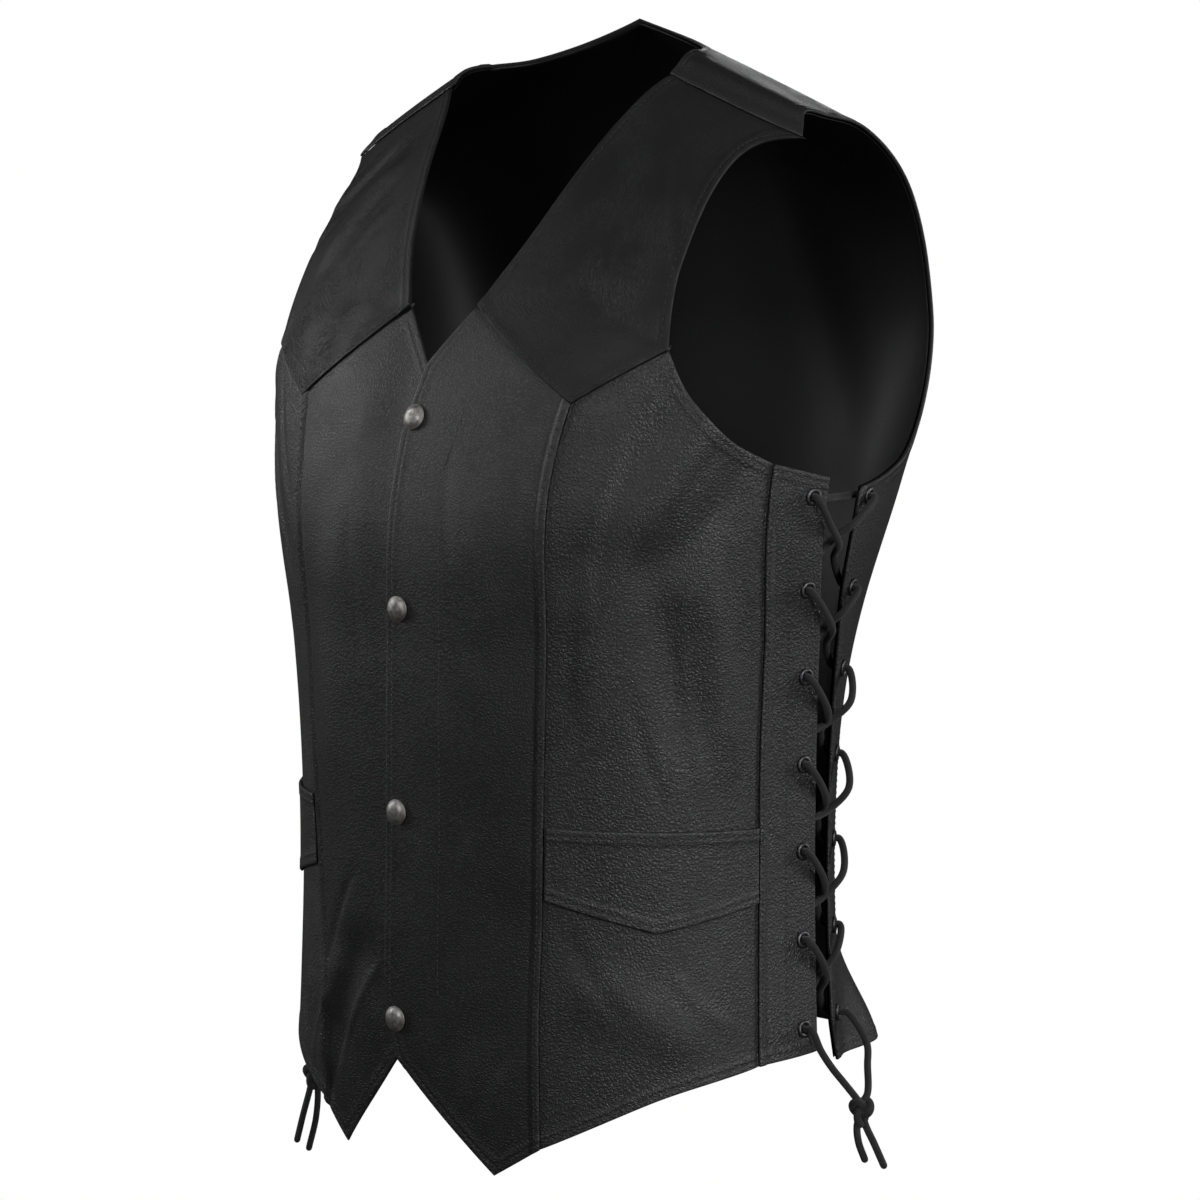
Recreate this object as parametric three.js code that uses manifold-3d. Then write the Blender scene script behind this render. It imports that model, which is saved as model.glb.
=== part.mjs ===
// A black leather vest, worn but empty: V neck, pointed front yokes, princess seams, one pocket flap
// a side, four snaps down the front and laced sides.
// Millimetres, +Z up, the front faces -Y, the wearer's left is +X.
// The origin lies between the shoulders at the neck, where the wearer carries the vest.
import * as THREE from 'three';
import { mergeVertices } from 'three/addons/utils/BufferGeometryUtils.js';
import Module from 'manifold-3d';

const wasm = await Module();
wasm.setup();

// Driving dimensions
const leather = 1.6; // wall of every leather panel
const liningWall = 0.9;
const liningGap = 0.85;
const liningInset = 1.4; // the leather's edges are turned in round the lining
const backBand = 22; // flat band of the back that carries its eyelets
const clearance = 0.3; // between pieces that touch
const seamInset = 0.25; // each panel stops this far from its seam line
const foldWidth = 6; // turned edge along a raised seam
const foldRise = 1.1;
const flapMargin = 1; // pocket flap to the seams beside it
const flapLift = 0.5; // daylight between a pocket flap and its panel
const stripFlare = 5.5; // the free edge of each laced strip stands off the body
const backFlare = 3.5;
const hemFlare = 20; // the lower back corners kick outward
const edgeGirth = 267; // laced edge of the front, along the body from the front centre
const stripTopGirth = 227; // seam between the side front and its lacing strip, at its top and lower down
const stripLowGirth = 224;
const hemLevel = 576; // front hem at the laced side
const backHemLevel = 586;
const gapTop = 27; // between the laced edges, at the top and lower down
const gapLow = 20;
const underlap = 22; // the wearer's right front runs this far under the left one
const underDrop = 2.3;
const lapEdge = -9; // free edge of the left front
const snapLevels = [-216, -314, -432, -553];
const snapRadius = 7.5;
const snapHeight = 3.4;
const eyeletCount = 7;
const eyeletTop = 249.5;
const eyeletPitch = 51.6;
const eyeletEdge = 11; // eyelet centre to the laced edge
const eyeletHole = 2.7;
const eyeletBarrel = 3.4;
const eyeletRim = 5.2;
const eyeletRimHeight = 1;
const eyeletLift = 0.35; // the seat stays clear of the slightly twisted cells of the leather
const leatherHole = eyeletBarrel + clearance;
const snapLift = 0.45; // snap base over the slightly curved leather
const barDrop = 1.5; // the bar between the top eyelets hangs this far behind the other stretches
const laceRadius = 2.15;
const laceSides = 8;
const laceExit = 3.4; // height of the lace over its eyelet's seat where it turns
const laceInside = -5.6; // lace centre behind the leather
const laceOutside = 5.2; // lace centre in front of the leather
const laceCrossing = 2.9; // above or below the middle of the gap where two laces cross

const outerFace = leather / 2;
const innerFace = -leather / 2;

const looks = {
  leather: { color: 0x232325, roughness: 0.55, metalness: 0 },
  yoke: { color: 0x1b1b1d, roughness: 0.5, metalness: 0 },
  lining: { color: 0x0d0d0f, roughness: 0.75, metalness: 0 },
  snap: { color: 0x8f8e8a, roughness: 0.35, metalness: 1 },
  eyelet: { color: 0x4a4a4c, roughness: 0.4, metalness: 1 },
  lace: { color: 0x101011, roughness: 0.85, metalness: 0 },
};

const vest = new THREE.Group();

function addMesh(name, geometry, look) {
  const mesh = new THREE.Mesh(geometry, new THREE.MeshStandardMaterial(looks[look]));
  mesh.name = name;
  vest.add(mesh);
  return mesh;
}

// Body sections. A level counts down from the shoulder ridge: negative at the front, positive at the back.
// Each section is a superellipse from its front or back centre round to the side, sloping by its drop.
const sectionColumns = ['level', 'frontZ', 'frontY', 'backZ', 'backY', 'sideY', 'halfWidth',
  'frontDrop', 'backDrop', 'frontSquare', 'backSquare'];
const sectionRows = [
  [0, 38, 8, 38, 8, 34, 205, 88, 88, 2.6, 2.6],
  [30, 26, -6, 39, 40, 34, 205, 82, 92, 2.6, 2.8],
  [70, -8, -30, 26, 82, 32, 205, 66, 82, 2.6, 3.4],
  [120, -66, -66, -36, 124, 26, 205, 36, 44, 2.7, 4.2],
  [180, -156, -114, -140, 152, 20, 202, 8, 10, 2.8, 4.6],
  [245, -243, -141, -245, 156, 14, 192, 0, 0, 2.5, 3.0],
  [340, -340, -147, -340, 150, 8, 177, 0, 0, 2.2, 2.2],
  [450, -450, -149, -450, 140, 4, 171, 0, 0, 2.05, 2.05],
  [560, -560, -151, -560, 146, 4, 177, 0, 0, 2.0, 2.0],
  [665, -665, -150, -665, 160, 6, 190, 0, 0, 2.0, 2.0],
];

function column(name) {
  const index = sectionColumns.indexOf(name);
  return sectionRows.map((row) => row[index]);
}

// A smooth curve through the points (xs, ys)
function smoothCurve(xs, ys) {
  const slope = (i) => (ys[i + 1] - ys[i]) / (xs[i + 1] - xs[i]);
  const last = xs.length - 1;
  const tangents = xs.map((x, i) => {
    if (i === 0) return slope(0);
    if (i === last) return slope(last - 1);
    const before = x - xs[i - 1];
    const after = xs[i + 1] - x;
    return (slope(i - 1) * after + slope(i) * before) / (before + after);
  });
  return (value) => {
    const x = THREE.MathUtils.clamp(value, xs[0], xs[last]);
    let i = 0;
    while (i < last - 1 && x > xs[i + 1]) i += 1;
    const width = xs[i + 1] - xs[i];
    const t = (x - xs[i]) / width;
    const s = 1 - t;
    return ys[i] * s * s * (1 + 2 * t) + ys[i + 1] * t * t * (3 - 2 * t)
      + width * (tangents[i] * t * s * s - tangents[i + 1] * t * t * s);
  };
}

// Front and back columns joined into one curve over the signed level
function signedCurve(frontName, backName) {
  const levels = column('level');
  const frontLevels = levels.slice(1).reverse().map((level) => -level);
  const front = column(frontName).slice(1).reverse();
  const back = column(backName);
  return smoothCurve([...frontLevels, ...levels], [...front, ...back]);
}

const body = {
  z: signedCurve('frontZ', 'backZ'),
  y: signedCurve('frontY', 'backY'),
  farY: signedCurve('backY', 'frontY'),
  sideY: signedCurve('sideY', 'sideY'),
  halfWidth: signedCurve('halfWidth', 'halfWidth'),
  drop: signedCurve('frontDrop', 'backDrop'),
  square: signedCurve('frontSquare', 'backSquare'),
  farSquare: signedCurve('backSquare', 'frontSquare'),
};

const sweepSteps = 100;
const sweepAngle = THREE.MathUtils.degToRad(130);
const sweeps = new Map();

// Half of one section, from its centre past the side, with the girth walked at each point
function sweep(level) {
  const key = Math.round(level * 50);
  if (sweeps.has(key)) return sweeps.get(key);
  const at = Object.fromEntries(Object.entries(body).map(([name, curve]) => [name, curve(level)]));
  const points = [];
  const girths = [];
  for (let i = 0; i <= sweepSteps; i += 1) {
    const angle = (sweepAngle * i) / sweepSteps;
    const near = angle <= Math.PI / 2;
    const power = 2 / (near ? at.square : at.farSquare);
    const reach = Math.sin(angle) ** power;
    const y = at.sideY + ((near ? at.y : at.farY) - at.sideY) * Math.abs(Math.cos(angle)) ** power;
    const point = new THREE.Vector3(at.halfWidth * reach, y, at.z - at.drop * reach ** 1.05);
    girths.push(i === 0 ? 0 : girths[i - 1] + point.distanceTo(points[i - 1]));
    points.push(point);
  }
  const result = { points, girths };
  sweeps.set(key, result);
  return result;
}

// Girth from the front centre to the back centre on one side
function halfGirth(level) {
  const quarter = (signed) => {
    const { points, girths } = sweep(signed);
    const widest = points.reduce((best, point, i) => (point.x > points[best].x ? i : best), 0);
    return girths[widest];
  };
  return quarter(-level) + quarter(level);
}

// A point of the bare body at a signed girth (+ is the wearer's left) and a signed level
function bodyPoint(girth, level) {
  const { points, girths } = sweep(level);
  const reach = Math.abs(girth);
  let i = 1;
  while (i < sweepSteps && girths[i] < reach) i += 1;
  const t = (reach - girths[i - 1]) / (girths[i] - girths[i - 1]);
  const point = points[i - 1].clone().lerp(points[i], t);
  if (girth < 0) point.x = -point.x;
  return point;
}

function bodyNormal(girth, level) {
  const step = 4;
  const across = bodyPoint(girth + step, level).sub(bodyPoint(girth - step, level));
  const along = bodyPoint(girth, level + step).sub(bodyPoint(girth, level - step));
  return across.cross(along).normalize();
}

function ramp(value) {
  return THREE.MathUtils.smoothstep(value, 0, 1);
}

// The laced edge of the back, as a girth from the back centre
function lacingGap(level) {
  return gapLow + (gapTop - gapLow) * (1 - ramp((level - eyeletTop) / 70));
}

function backEdge(level) {
  return halfGirth(level) - edgeGirth - lacingGap(level);
}

// Large soft folds: where each one is centred, how far it runs, how wide it is, its lean and its depth.
// Side is the sign of the girth; a negative depth is a trough. Lean is degrees from straight down, to +girth.
const foldColumns = ['side', 'girth', 'level', 'length', 'width', 'lean', 'depth'];
const foldRows = [
  [1, 168, -238, 120, 13, -38, 3.2],
  [1, 143, -246, 150, 11, -27, -3.4],
  [1, 190, -262, 110, 14, -45, -3.6],
  [1, 126, -300, 190, 16, -8, 3.0],
  [1, 166, -330, 170, 15, 14, -3.0],
  [1, 200, -350, 150, 12, 4, 2.6],
  [1, 60, -330, 240, 22, 3, 2.2],
  [1, 70, -520, 150, 18, -12, -2.4],
  [1, 150, -540, 110, 16, 62, 2.6],
  [-1, 140, -95, 90, 9, -40, -2.6],
  [-1, 118, -120, 90, 9, -34, 2.4],
  [-1, 150, -250, 150, 13, 30, -3.2],
  [-1, 60, -350, 230, 20, -4, 2.4],
  [-1, 48, -545, 110, 12, -24, -3.4],
  [-1, 66, -560, 100, 10, -18, 3.2],
  [-1, 180, -380, 200, 16, -5, 3.0],
  [1, 90, 190, 190, 20, 24, -3.2],
  [-1, 84, 205, 180, 20, -26, -3.2],
  [1, 130, 330, 240, 22, 6, 3.0],
  [-1, 122, 350, 220, 22, -4, 3.0],
  [1, 50, 440, 200, 20, -8, -2.8],
  [-1, 60, 470, 180, 20, 10, -2.6],
];
const folds = foldRows.map((row) => Object.fromEntries(foldColumns.map((name, i) => [name, row[i]])));

function foldHeight(girth, level) {
  return folds.reduce((sum, fold) => {
    if ((level < 0) !== (fold.level < 0)) return sum;
    const lean = THREE.MathUtils.degToRad(fold.lean);
    const right = girth - fold.side * fold.girth;
    const down = Math.abs(level) - Math.abs(fold.level);
    const across = right * Math.cos(lean) - down * Math.sin(lean);
    const along = right * Math.sin(lean) + down * Math.cos(lean);
    const end = THREE.MathUtils.clamp(1 - Math.abs(along) / (fold.length / 2), 0, 1);
    return sum + fold.depth * ramp(end * 1.6) * Math.exp(-((across / fold.width) ** 2));
  }, 0);
}

// How far the laced edges and the lower back corners stand off the body
function flare(girth, level) {
  const reach = Math.abs(girth);
  if (level < 0) {
    const across = ramp((reach - stripTopGirth) / (edgeGirth - stripTopGirth));
    return stripFlare * across * ramp((-level - 215) / 20);
  }
  if (level < 200) return 0;
  const fromEdge = backEdge(Math.max(level, 245)) - reach;
  const lifted = backFlare * ramp((level - 200) / 45) * ramp(1 - fromEdge / 45);
  const corner = ramp((fromEdge - backBand) / 40) * ramp((150 - fromEdge) / 80);
  return lifted + hemFlare * corner * ramp((level - 505) / 85) ** 1.5;
}

// Folds die out toward the laced strips and the shoulder ridge, so that neighbours keep their seams
function shapeHeight(girth, level) {
  const reach = Math.abs(girth);
  const calmFrom = level < 0 ? 196 : backEdge(Math.max(level, 245)) - 50;
  const calm = 1 - ramp((reach - calmFrom) / 24);
  const ridge = ramp((Math.abs(level) - 50) / 40);
  return foldHeight(girth, level) * calm * ridge + flare(girth, level);
}

// A point of the vest's middle surface, moved out by an offset
function vestPoint(girth, level, offset = 0) {
  const height = shapeHeight(girth, level) + offset;
  return bodyPoint(girth, level).addScaledVector(bodyNormal(girth, level), height);
}

// Outlines in girth and level, for one side; a mirrored side flips the girth.
const neckCorner = [26, -170]; // neck edge meets the yoke
const neckFoot = [0, -194]; // bottom of the V
const notch = [1, -577]; // hem notch at the front centre
const underTop = [-underlap, -208];
const underBottom = [-underlap, -586];
const yokePoint = [106, -208];
const yokeCorner = [156, -184]; // yoke meets the armhole
const shoulderNeck = [92, -36];
const shoulderArm = [187, -44];
const stripTop = [stripTopGirth, -233];
const edgeTop = [edgeGirth, -240];
const backEdgeTop = [backEdge(245), 245];

// What differs between the sides as the vest hangs: the hem point, the princess seam and the front armhole
const hang = {
  left: {
    hemPoint: [67, -636],
    princess: [[100, -245], [99, -317], [96, -420], [95, -490], [94, -545], [95, -618]],
    arm: [[148, -150], [148, -112], [154, -80], [166, -60]],
  },
  right: {
    hemPoint: [46, -636],
    princess: [[102, -245], [97, -317], [89, -420], [81, -490], [72, -545], [73, -616]],
    arm: [[161, -150], [164, -112], [168, -80], [176, -60]],
  },
};

function trace(points, steps) {
  const curve = new THREE.SplineCurve(points.map(([x, y]) => new THREE.Vector2(x, y)));
  return curve.getSpacedPoints(steps).map(({ x, y }) => ({ girth: x, level: y }));
}

function join(...lines) {
  return lines.flatMap((line, i) => (i === 0 ? line : line.slice(1)));
}

const bodySteps = 14; // rows of a front panel, two for each eyelet
const seamLevels = Array.from({ length: eyeletCount + 1 }, (_, i) => eyeletTop + (i - 0.5) * eyeletPitch);

// A line down a seam whose rows follow the eyelets, so that strips and panels share them
function seamLine(girthAt, top, bottom, perEyelet, facing = -1) {
  const inner = [];
  for (let i = 1; i < eyeletCount * perEyelet; i += 1) {
    inner.push(seamLevels[0] + (i / perEyelet) * eyeletPitch);
  }
  return [top, ...inner, bottom].map((depth) => ({ girth: girthAt(depth), level: facing * depth }));
}

const stripGirth = (depth) => THREE.MathUtils.lerp(stripTopGirth, stripLowGirth, ramp((depth - 300) / 120));
const yokeInner = trace([neckCorner, yokePoint], 6);
const yokeOuter = trace([yokePoint, yokeCorner], 4);
const neckFront = trace([neckCorner, [45, -144], [58, -117], [73, -78], [81, -58], shoulderNeck], 7);
const armUnder = trace([yokeCorner, [172, -203], [198, -222], stripTop], 6);
const stripSeam = seamLine(stripGirth, 233, hemLevel, 2);
const stripLine = seamLine(stripGirth, 233, hemLevel, 1);
const laceLine = seamLine(() => edgeGirth, 240, hemLevel - 2, 1);

// A grid of girths and levels filled between four outlines
function fill(left, right, top, bottom) {
  const rows = left.length - 1;
  const columns = top.length - 1;
  const grid = [];
  for (let r = 0; r <= rows; r += 1) {
    const t = r / rows;
    grid.push(top.map((_, c) => {
      const s = c / columns;
      const blend = (key) => (1 - s) * left[r][key] + s * right[r][key]
        + (1 - t) * (top[c][key] - (1 - s) * top[0][key] - s * top[columns][key])
        + t * (bottom[c][key] - (1 - s) * bottom[0][key] - s * bottom[columns][key]);
      return { girth: blend('girth'), level: blend('level'), rise: 0 };
    }));
  }
  return grid;
}

function transpose(grid) {
  return grid[0].map((_, c) => grid.map((row) => row[c]));
}

function toward(from, to, distance) {
  const length = Math.hypot(to.girth - from.girth, to.level - from.level);
  const t = distance / length;
  return {
    girth: from.girth + (to.girth - from.girth) * t,
    level: from.level + (to.level - from.level) * t,
    rise: from.rise,
  };
}

// Move the second column from each end to a set distance from the edge
function bandColumns(grid, distance) {
  return grid.map((row) => {
    const last = row.length - 1;
    const first = toward(row[0], row[1], distance);
    return [row[0], first, ...row.slice(2, -2), toward(row[last], row[last - 1], distance), row[last]];
  });
}

// Add a raised, turned edge along the first or last column
function foldColumn(grid, atEnd) {
  return grid.map((row) => {
    const line = atEnd ? [...row].reverse() : row;
    const raised = { ...line[0], rise: foldRise };
    const inner = toward(raised, line[1], foldWidth);
    const foot = { ...toward(line[0], line[1], foldWidth + 1.2), rise: 0 };
    const folded = [raised, inner, foot, ...line.slice(1)];
    return atEnd ? folded.reverse() : folded;
  });
}

function foldRow(grid, atEnd) {
  return transpose(foldColumn(transpose(grid), atEnd));
}

// Pull the outer points of a sheet in from the seam lines, along its rows and then its columns
function inset(sheet, distance) {
  const pull = (from, to) => from.clone().lerp(to, distance / from.distanceTo(to));
  const shrinkRow = (row) => row.map((point, i) => {
    if (!point) return null;
    if (!row[i - 1]) return pull(point, row[i + 1]);
    return row[i + 1] ? point : pull(point, row[i - 1]);
  });
  return transpose(transpose(sheet.map(shrinkRow)).map(shrinkRow));
}

// A closed wall over a grid, from an inner to an outer offset, on the given side of the body.
// A grid may have empty spots; a cell is filled where it has all its corners.
function wall(grid, side, outer, inner, { liftAt = () => 0, edge = seamInset } = {}) {
  const sheetOf = (offset, raised) => inset(grid.map((row) => row.map((spot) => {
    if (!spot) return null;
    const lift = liftAt(spot) + offset + (raised ? spot.rise : 0);
    return vestPoint(side * spot.girth, spot.level, lift);
  })), edge);
  const points = [];
  const numbered = (sheet) => sheet.map((row) => row.map((point) => (point ? points.push(point) - 1 : -1)));
  const numbers = [numbered(sheetOf(outer, true)), numbered(sheetOf(inner, false))];
  const faces = [];
  const quad = (a, b, c, d) => faces.push(a, b, c, a, c, d);
  const rims = new Map();
  for (let r = 0; r < grid.length - 1; r += 1) {
    for (let c = 0; c < grid[0].length - 1; c += 1) {
      const corners = [[r, c], [r + 1, c], [r + 1, c + 1], [r, c + 1]];
      if (corners.some(([row, col]) => !grid[row][col])) continue;
      const [above, below] = numbers.map((sheet) => corners.map(([row, col]) => sheet[row][col]));
      quad(...above);
      quad(below[0], below[3], below[2], below[1]);
      above.forEach((from, i) => {
        const next = (i + 1) % 4;
        const to = above[next];
        if (!rims.delete(`${to} ${from}`)) rims.set(`${from} ${to}`, [to, from, below[i], below[next]]);
      });
    }
  }
  rims.forEach((corners) => quad(...corners));
  return facingOut(points.flatMap((point) => point.toArray()), faces);
}

// Make a geometry from positions and faces, turned so that its faces point out
function facingOut(positions, faces) {
  const corner = (i) => new THREE.Vector3().fromArray(positions, faces[i] * 3);
  let volume = 0;
  for (let i = 0; i < faces.length; i += 3) volume += corner(i).dot(corner(i + 1).cross(corner(i + 2)));
  const ordered = volume > 0 ? faces : faces.reverse();
  const geometry = new THREE.BufferGeometry();
  geometry.setAttribute('position', new THREE.Float32BufferAttribute(positions, 3));
  geometry.setIndex(ordered);
  geometry.computeVertexNormals();
  return geometry;
}

// The same shape with the points along its seams shared
function welded(geometry) {
  const bare = geometry.clone();
  bare.deleteAttribute('normal');
  bare.deleteAttribute('uv');
  return mergeVertices(bare, 1e-4);
}

function toSolid(geometry) {
  const merged = welded(geometry);
  return new wasm.Manifold(new wasm.Mesh({
    numProp: 3,
    vertProperties: new Float32Array(merged.attributes.position.array),
    triVerts: new Uint32Array(merged.index.array),
  }));
}

function toGeometry(solid) {
  const { vertProperties, triVerts } = solid.getMesh();
  const geometry = new THREE.BufferGeometry();
  geometry.setAttribute('position', new THREE.BufferAttribute(vertProperties, 3));
  geometry.setIndex(new THREE.BufferAttribute(triVerts, 1));
  geometry.computeVertexNormals();
  return geometry;
}

// A seat on one flat cell of a wall's outer face: its centre and the way out
function seat(grid, side, r, c, across, down, offset) {
  const corner = (row, col) => vestPoint(side * grid[row][col].girth, grid[row][col].level, offset);
  const [a, b, d, e] = [corner(r, c), corner(r, c + 1), corner(r + 1, c), corner(r + 1, c + 1)];
  const centre = a.clone().lerp(b, across).lerp(d.clone().lerp(e, across), down);
  const normal = e.clone().sub(a).cross(d.clone().sub(b)).normalize();
  if (normal.dot(centre.clone().sub(new THREE.Vector3(0, 0, centre.z))) < 0) normal.negate();
  return { centre, normal };
}

function placed(geometry, { centre, normal }) {
  const turn = new THREE.Quaternion().setFromUnitVectors(new THREE.Vector3(0, 1, 0), normal);
  const moved = welded(geometry).applyQuaternion(turn).translate(centre.x, centre.y, centre.z);
  moved.computeVertexNormals();
  return moved;
}

const drill = new THREE.CylinderGeometry(leatherHole, leatherHole, 30, 8);

function drilled(geometry, seats) {
  const drills = seats.map((spot) => toSolid(placed(drill, spot)));
  return toGeometry(drills.reduce((solid, hole) => solid.subtract(hole), toSolid(geometry)));
}

// Front panels of one side. The wearer's left front lies on top; the right one runs under it.
function princessLine(name) {
  return trace([yokePoint, ...hang[name].princess], bodySteps);
}

function frontCentre(name, side) {
  const over = side > 0;
  const { hemPoint, princess } = hang[name];
  const princessFoot = princess[princess.length - 1];
  const edge = over
    ? trace([neckFoot, [-6, -216], [lapEdge, -244], [lapEdge, -420], [lapEdge, -540], notch], bodySteps)
    : trace([underTop, [-underlap, -400], underBottom], bodySteps);
  const neckLine = trace([neckFoot, neckCorner], 2);
  const hemLine = join(trace([notch, hemPoint], 5), trace([hemPoint, princessFoot], 3));
  const topLine = join(neckLine, yokeInner);
  const top = over ? topLine : join(trace([underTop, neckFoot], 2), topLine);
  const bottom = over ? hemLine : join(trace([underBottom, notch], 2), hemLine);
  const under = (spot) => (over ? 0 : -underDrop * (1 - ramp((spot.girth - 10) / 34)));
  const grid = foldColumn(fill(edge, princessLine(name), top, bottom), true);
  return wall(grid, side, outerFace, innerFace, { liftAt: under });
}

function frontSide(name, side) {
  const { princess } = hang[name];
  const hemLine = trace([princess[princess.length - 1], [163, -589], [stripLowGirth, -hemLevel]], 10);
  const grid = fill(princessLine(name), stripSeam, join(yokeOuter, armUnder), hemLine);
  return wall(grid, side, outerFace, innerFace);
}

function frontYoke(name, side) {
  const top = trace([shoulderNeck, shoulderArm], 10);
  const armFront = trace([yokeCorner, ...hang[name].arm, shoulderArm], 7);
  const grid = fill([...neckFront].reverse(), armFront.reverse(), top, join(yokeInner, yokeOuter));
  return wall(foldRow(grid, true), side, outerFace, innerFace);
}

// The flap hangs from the panel between the princess seam and the lacing strip
function pocketFlap(name, side) {
  const seam = princessLine(name);
  const nearAt = (level) => {
    const i = seam.findIndex((spot) => spot.level < level);
    const t = (level - seam[i - 1].level) / (seam[i].level - seam[i - 1].level);
    return [THREE.MathUtils.lerp(seam[i - 1].girth, seam[i].girth, t) + flapMargin, level];
  };
  const far = stripLowGirth - flapMargin;
  const [topNear, lowNear] = [nearAt(-433), nearAt(-475)];
  const point = [(lowNear[0] + far) / 2, -494];
  const top = trace([topNear, [far, -438]], 10);
  const bottom = join(trace([lowNear, point], 5), trace([point, [far, -482]], 5));
  const left = trace([topNear, lowNear], 2);
  const right = trace([[far, -438], [far, -482]], 2);
  const lift = leather + flapLift;
  return wall(fill(left, right, top, bottom), side, outerFace + lift, innerFace + lift);
}

const stripEdge = trace([stripTop, edgeTop], 2);
const stripHem = trace([[stripLowGirth, -hemLevel], [edgeGirth, 2 - hemLevel]], 2);
const stripGrid = foldColumn(fill(stripLine, laceLine, stripEdge, stripHem), false);

// Seats of the eyelets on a grid whose laced edge is its last column
function eyeletSeats(grid, side, firstRow) {
  return seamLevels.slice(0, -1).map((_, i) => {
    const r = firstRow + i;
    const c = grid[0].length - 2;
    const level = eyeletTop + i * eyeletPitch;
    const [above, below] = [grid[r][c + 1], grid[r + 1][c + 1]];
    const down = (level - Math.abs(above.level)) / (Math.abs(below.level) - Math.abs(above.level));
    const widthAbove = above.girth - grid[r][c].girth;
    const widthBelow = below.girth - grid[r + 1][c].girth;
    const across = 1 - eyeletEdge / THREE.MathUtils.lerp(widthAbove, widthBelow, down);
    return { ...seat(grid, side, r, c, across, down, outerFace + eyeletLift), level };
  });
}

// The back: one panel from the shoulder seams over the ridge down to the hem
const armOutlines = {
  left: [shoulderArm, [184, -22], [182, 0], [181, 22], [181, 50], [182, 80], [181, 112], [180, 145],
    [180, 175], [188, 210], [205, 230], [228, 239], backEdgeTop],
  right: [shoulderArm, [184, -22], [182, 0], [185, 22], [194, 50], [208, 80], [224, 112], [239, 145],
    [247, 175], [249, 200], [252, 222], [258, 237], backEdgeTop],
};
const armStops = [0, 0.05, 0.1, 0.15, 0.21, 0.29, 0.4, 0.52, 0.65, 0.78, 0.89, 1];
const strapRows = 4; // rows of a shoulder strap, above the back neck
const strapColumns = 4;
function armLine(outline) {
  const curve = new THREE.SplineCurve(outline.map(([x, y]) => new THREE.Vector2(x, y)));
  return armStops.map((stop) => curve.getPointAt(stop)).map(({ x, y }) => ({ girth: x, level: y }));
}
const armBack = { left: armLine(armOutlines.left), right: armLine(armOutlines.right) };
const armRows = armStops.length - 1;
const backLace = seamLine((depth) => backEdge(Math.min(depth, 560)), 245, backHemLevel, 1, 1);
const backSide = (name) => join(armBack[name].slice(strapRows), backLace);
const mirrored = (line) => line.map((spot) => ({ ...spot, girth: -spot.girth }));
const neckSide = trace([shoulderNeck, [93, -8], [88, 14]], strapRows);
const neckBack = trace([[88, 14], [72, 37], [42, 52], [0, 58], [-42, 52], [-72, 37], [-88, 14]], 10);
const shoulderTop = trace([shoulderArm, shoulderNeck], strapColumns);
function strapFoot(name) {
  const { girth, level } = armBack[name][strapRows];
  return trace([[girth, level], [88, 14]], strapColumns);
}
const mainTop = join(mirrored(strapFoot('right')), [...neckBack].reverse(), strapFoot('left').reverse());
const backHem = trace([[-backEdge(560), backHemLevel], [-110, 592], [0, 594], [110, 592],
  [backEdge(560), backHemLevel]], mainTop.length - 1);
const strap = (name) => fill(armBack[name].slice(0, strapRows + 1), neckSide, shoulderTop, strapFoot(name));
const leftStrap = strap('left').slice(0, -1);
const rightStrap = strap('right').slice(0, -1);
const neckHole = Array(neckBack.length - 2).fill(null);
const strapGrid = leftStrap.map((row, i) => [...mirrored(rightStrap[i]), ...neckHole, ...[...row].reverse()]);
const mainGrid = fill(mirrored(backSide('right')), backSide('left'), mainTop, backHem);
const backGrid = [...strapGrid, ...bandColumns(mainGrid, backBand)];
const liningOuter = innerFace - liningGap;
const liningInner = liningOuter - liningWall;

const seatsOf = (grid, firstRow) => ({
  1: eyeletSeats(grid, 1, firstRow),
  [-1]: eyeletSeats(grid, -1, firstRow),
});
const stripSeats = seatsOf(stripGrid, 0);
const backSeats = seatsOf(backGrid, armRows);

// Hard parts
function eyeletGeometry(depth) {
  const top = clearance + eyeletRimHeight;
  const profile = [
    [eyeletHole, -depth], [eyeletBarrel, -depth], [eyeletBarrel, clearance], [eyeletRim, clearance],
    [eyeletBarrel + 0.6, top], [eyeletHole, top], [eyeletHole, -depth],
  ];
  return new THREE.LatheGeometry(profile.map(([x, y]) => new THREE.Vector2(x, y)), 8);
}

function snapGeometry() {
  const rim = 0.8;
  const profile = [[0, 0], [snapRadius - rim, 0]];
  for (let i = 0; i < 3; i += 1) {
    const angle = (i / 3) * (Math.PI / 2);
    profile.push([snapRadius * Math.cos(angle), rim + (snapHeight - rim) * Math.sin(angle)]);
  }
  profile.push([0, snapHeight]);
  return new THREE.LatheGeometry(profile.map(([x, y]) => new THREE.Vector2(x, y)), 12);
}

// A cord through its points, with one ring of its round section at each
class Route extends THREE.CatmullRomCurve3 {
  getUtoTmapping(u) {
    return u;
  }
}

function cord(points, radius = laceRadius) {
  const section = new THREE.Shape();
  for (let i = 0; i < laceSides; i += 1) {
    const angle = (i / laceSides) * 2 * Math.PI;
    section[i === 0 ? 'moveTo' : 'lineTo'](radius * Math.cos(angle), radius * Math.sin(angle));
  }
  section.closePath();
  const extrudePath = new Route(points.map((point) => new THREE.Vector3(...point)), false, 'centripetal');
  return new THREE.ExtrudeGeometry(section, { extrudePath, steps: points.length - 1, curveSegments: 1 });
}

// A point over the lacing gap: how far past the front's laced edge, the level and the height
function gapPoint(side, past, level, height) {
  const gap = lacingGap(level);
  const t = THREE.MathUtils.clamp(past / gap, 0, 1);
  const stand = THREE.MathUtils.lerp(stripFlare, backFlare, t);
  const girth = side * (edgeGirth + past);
  return bodyPoint(girth, -level).addScaledVector(bodyNormal(girth, -level), stand + height).toArray();
}

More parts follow.
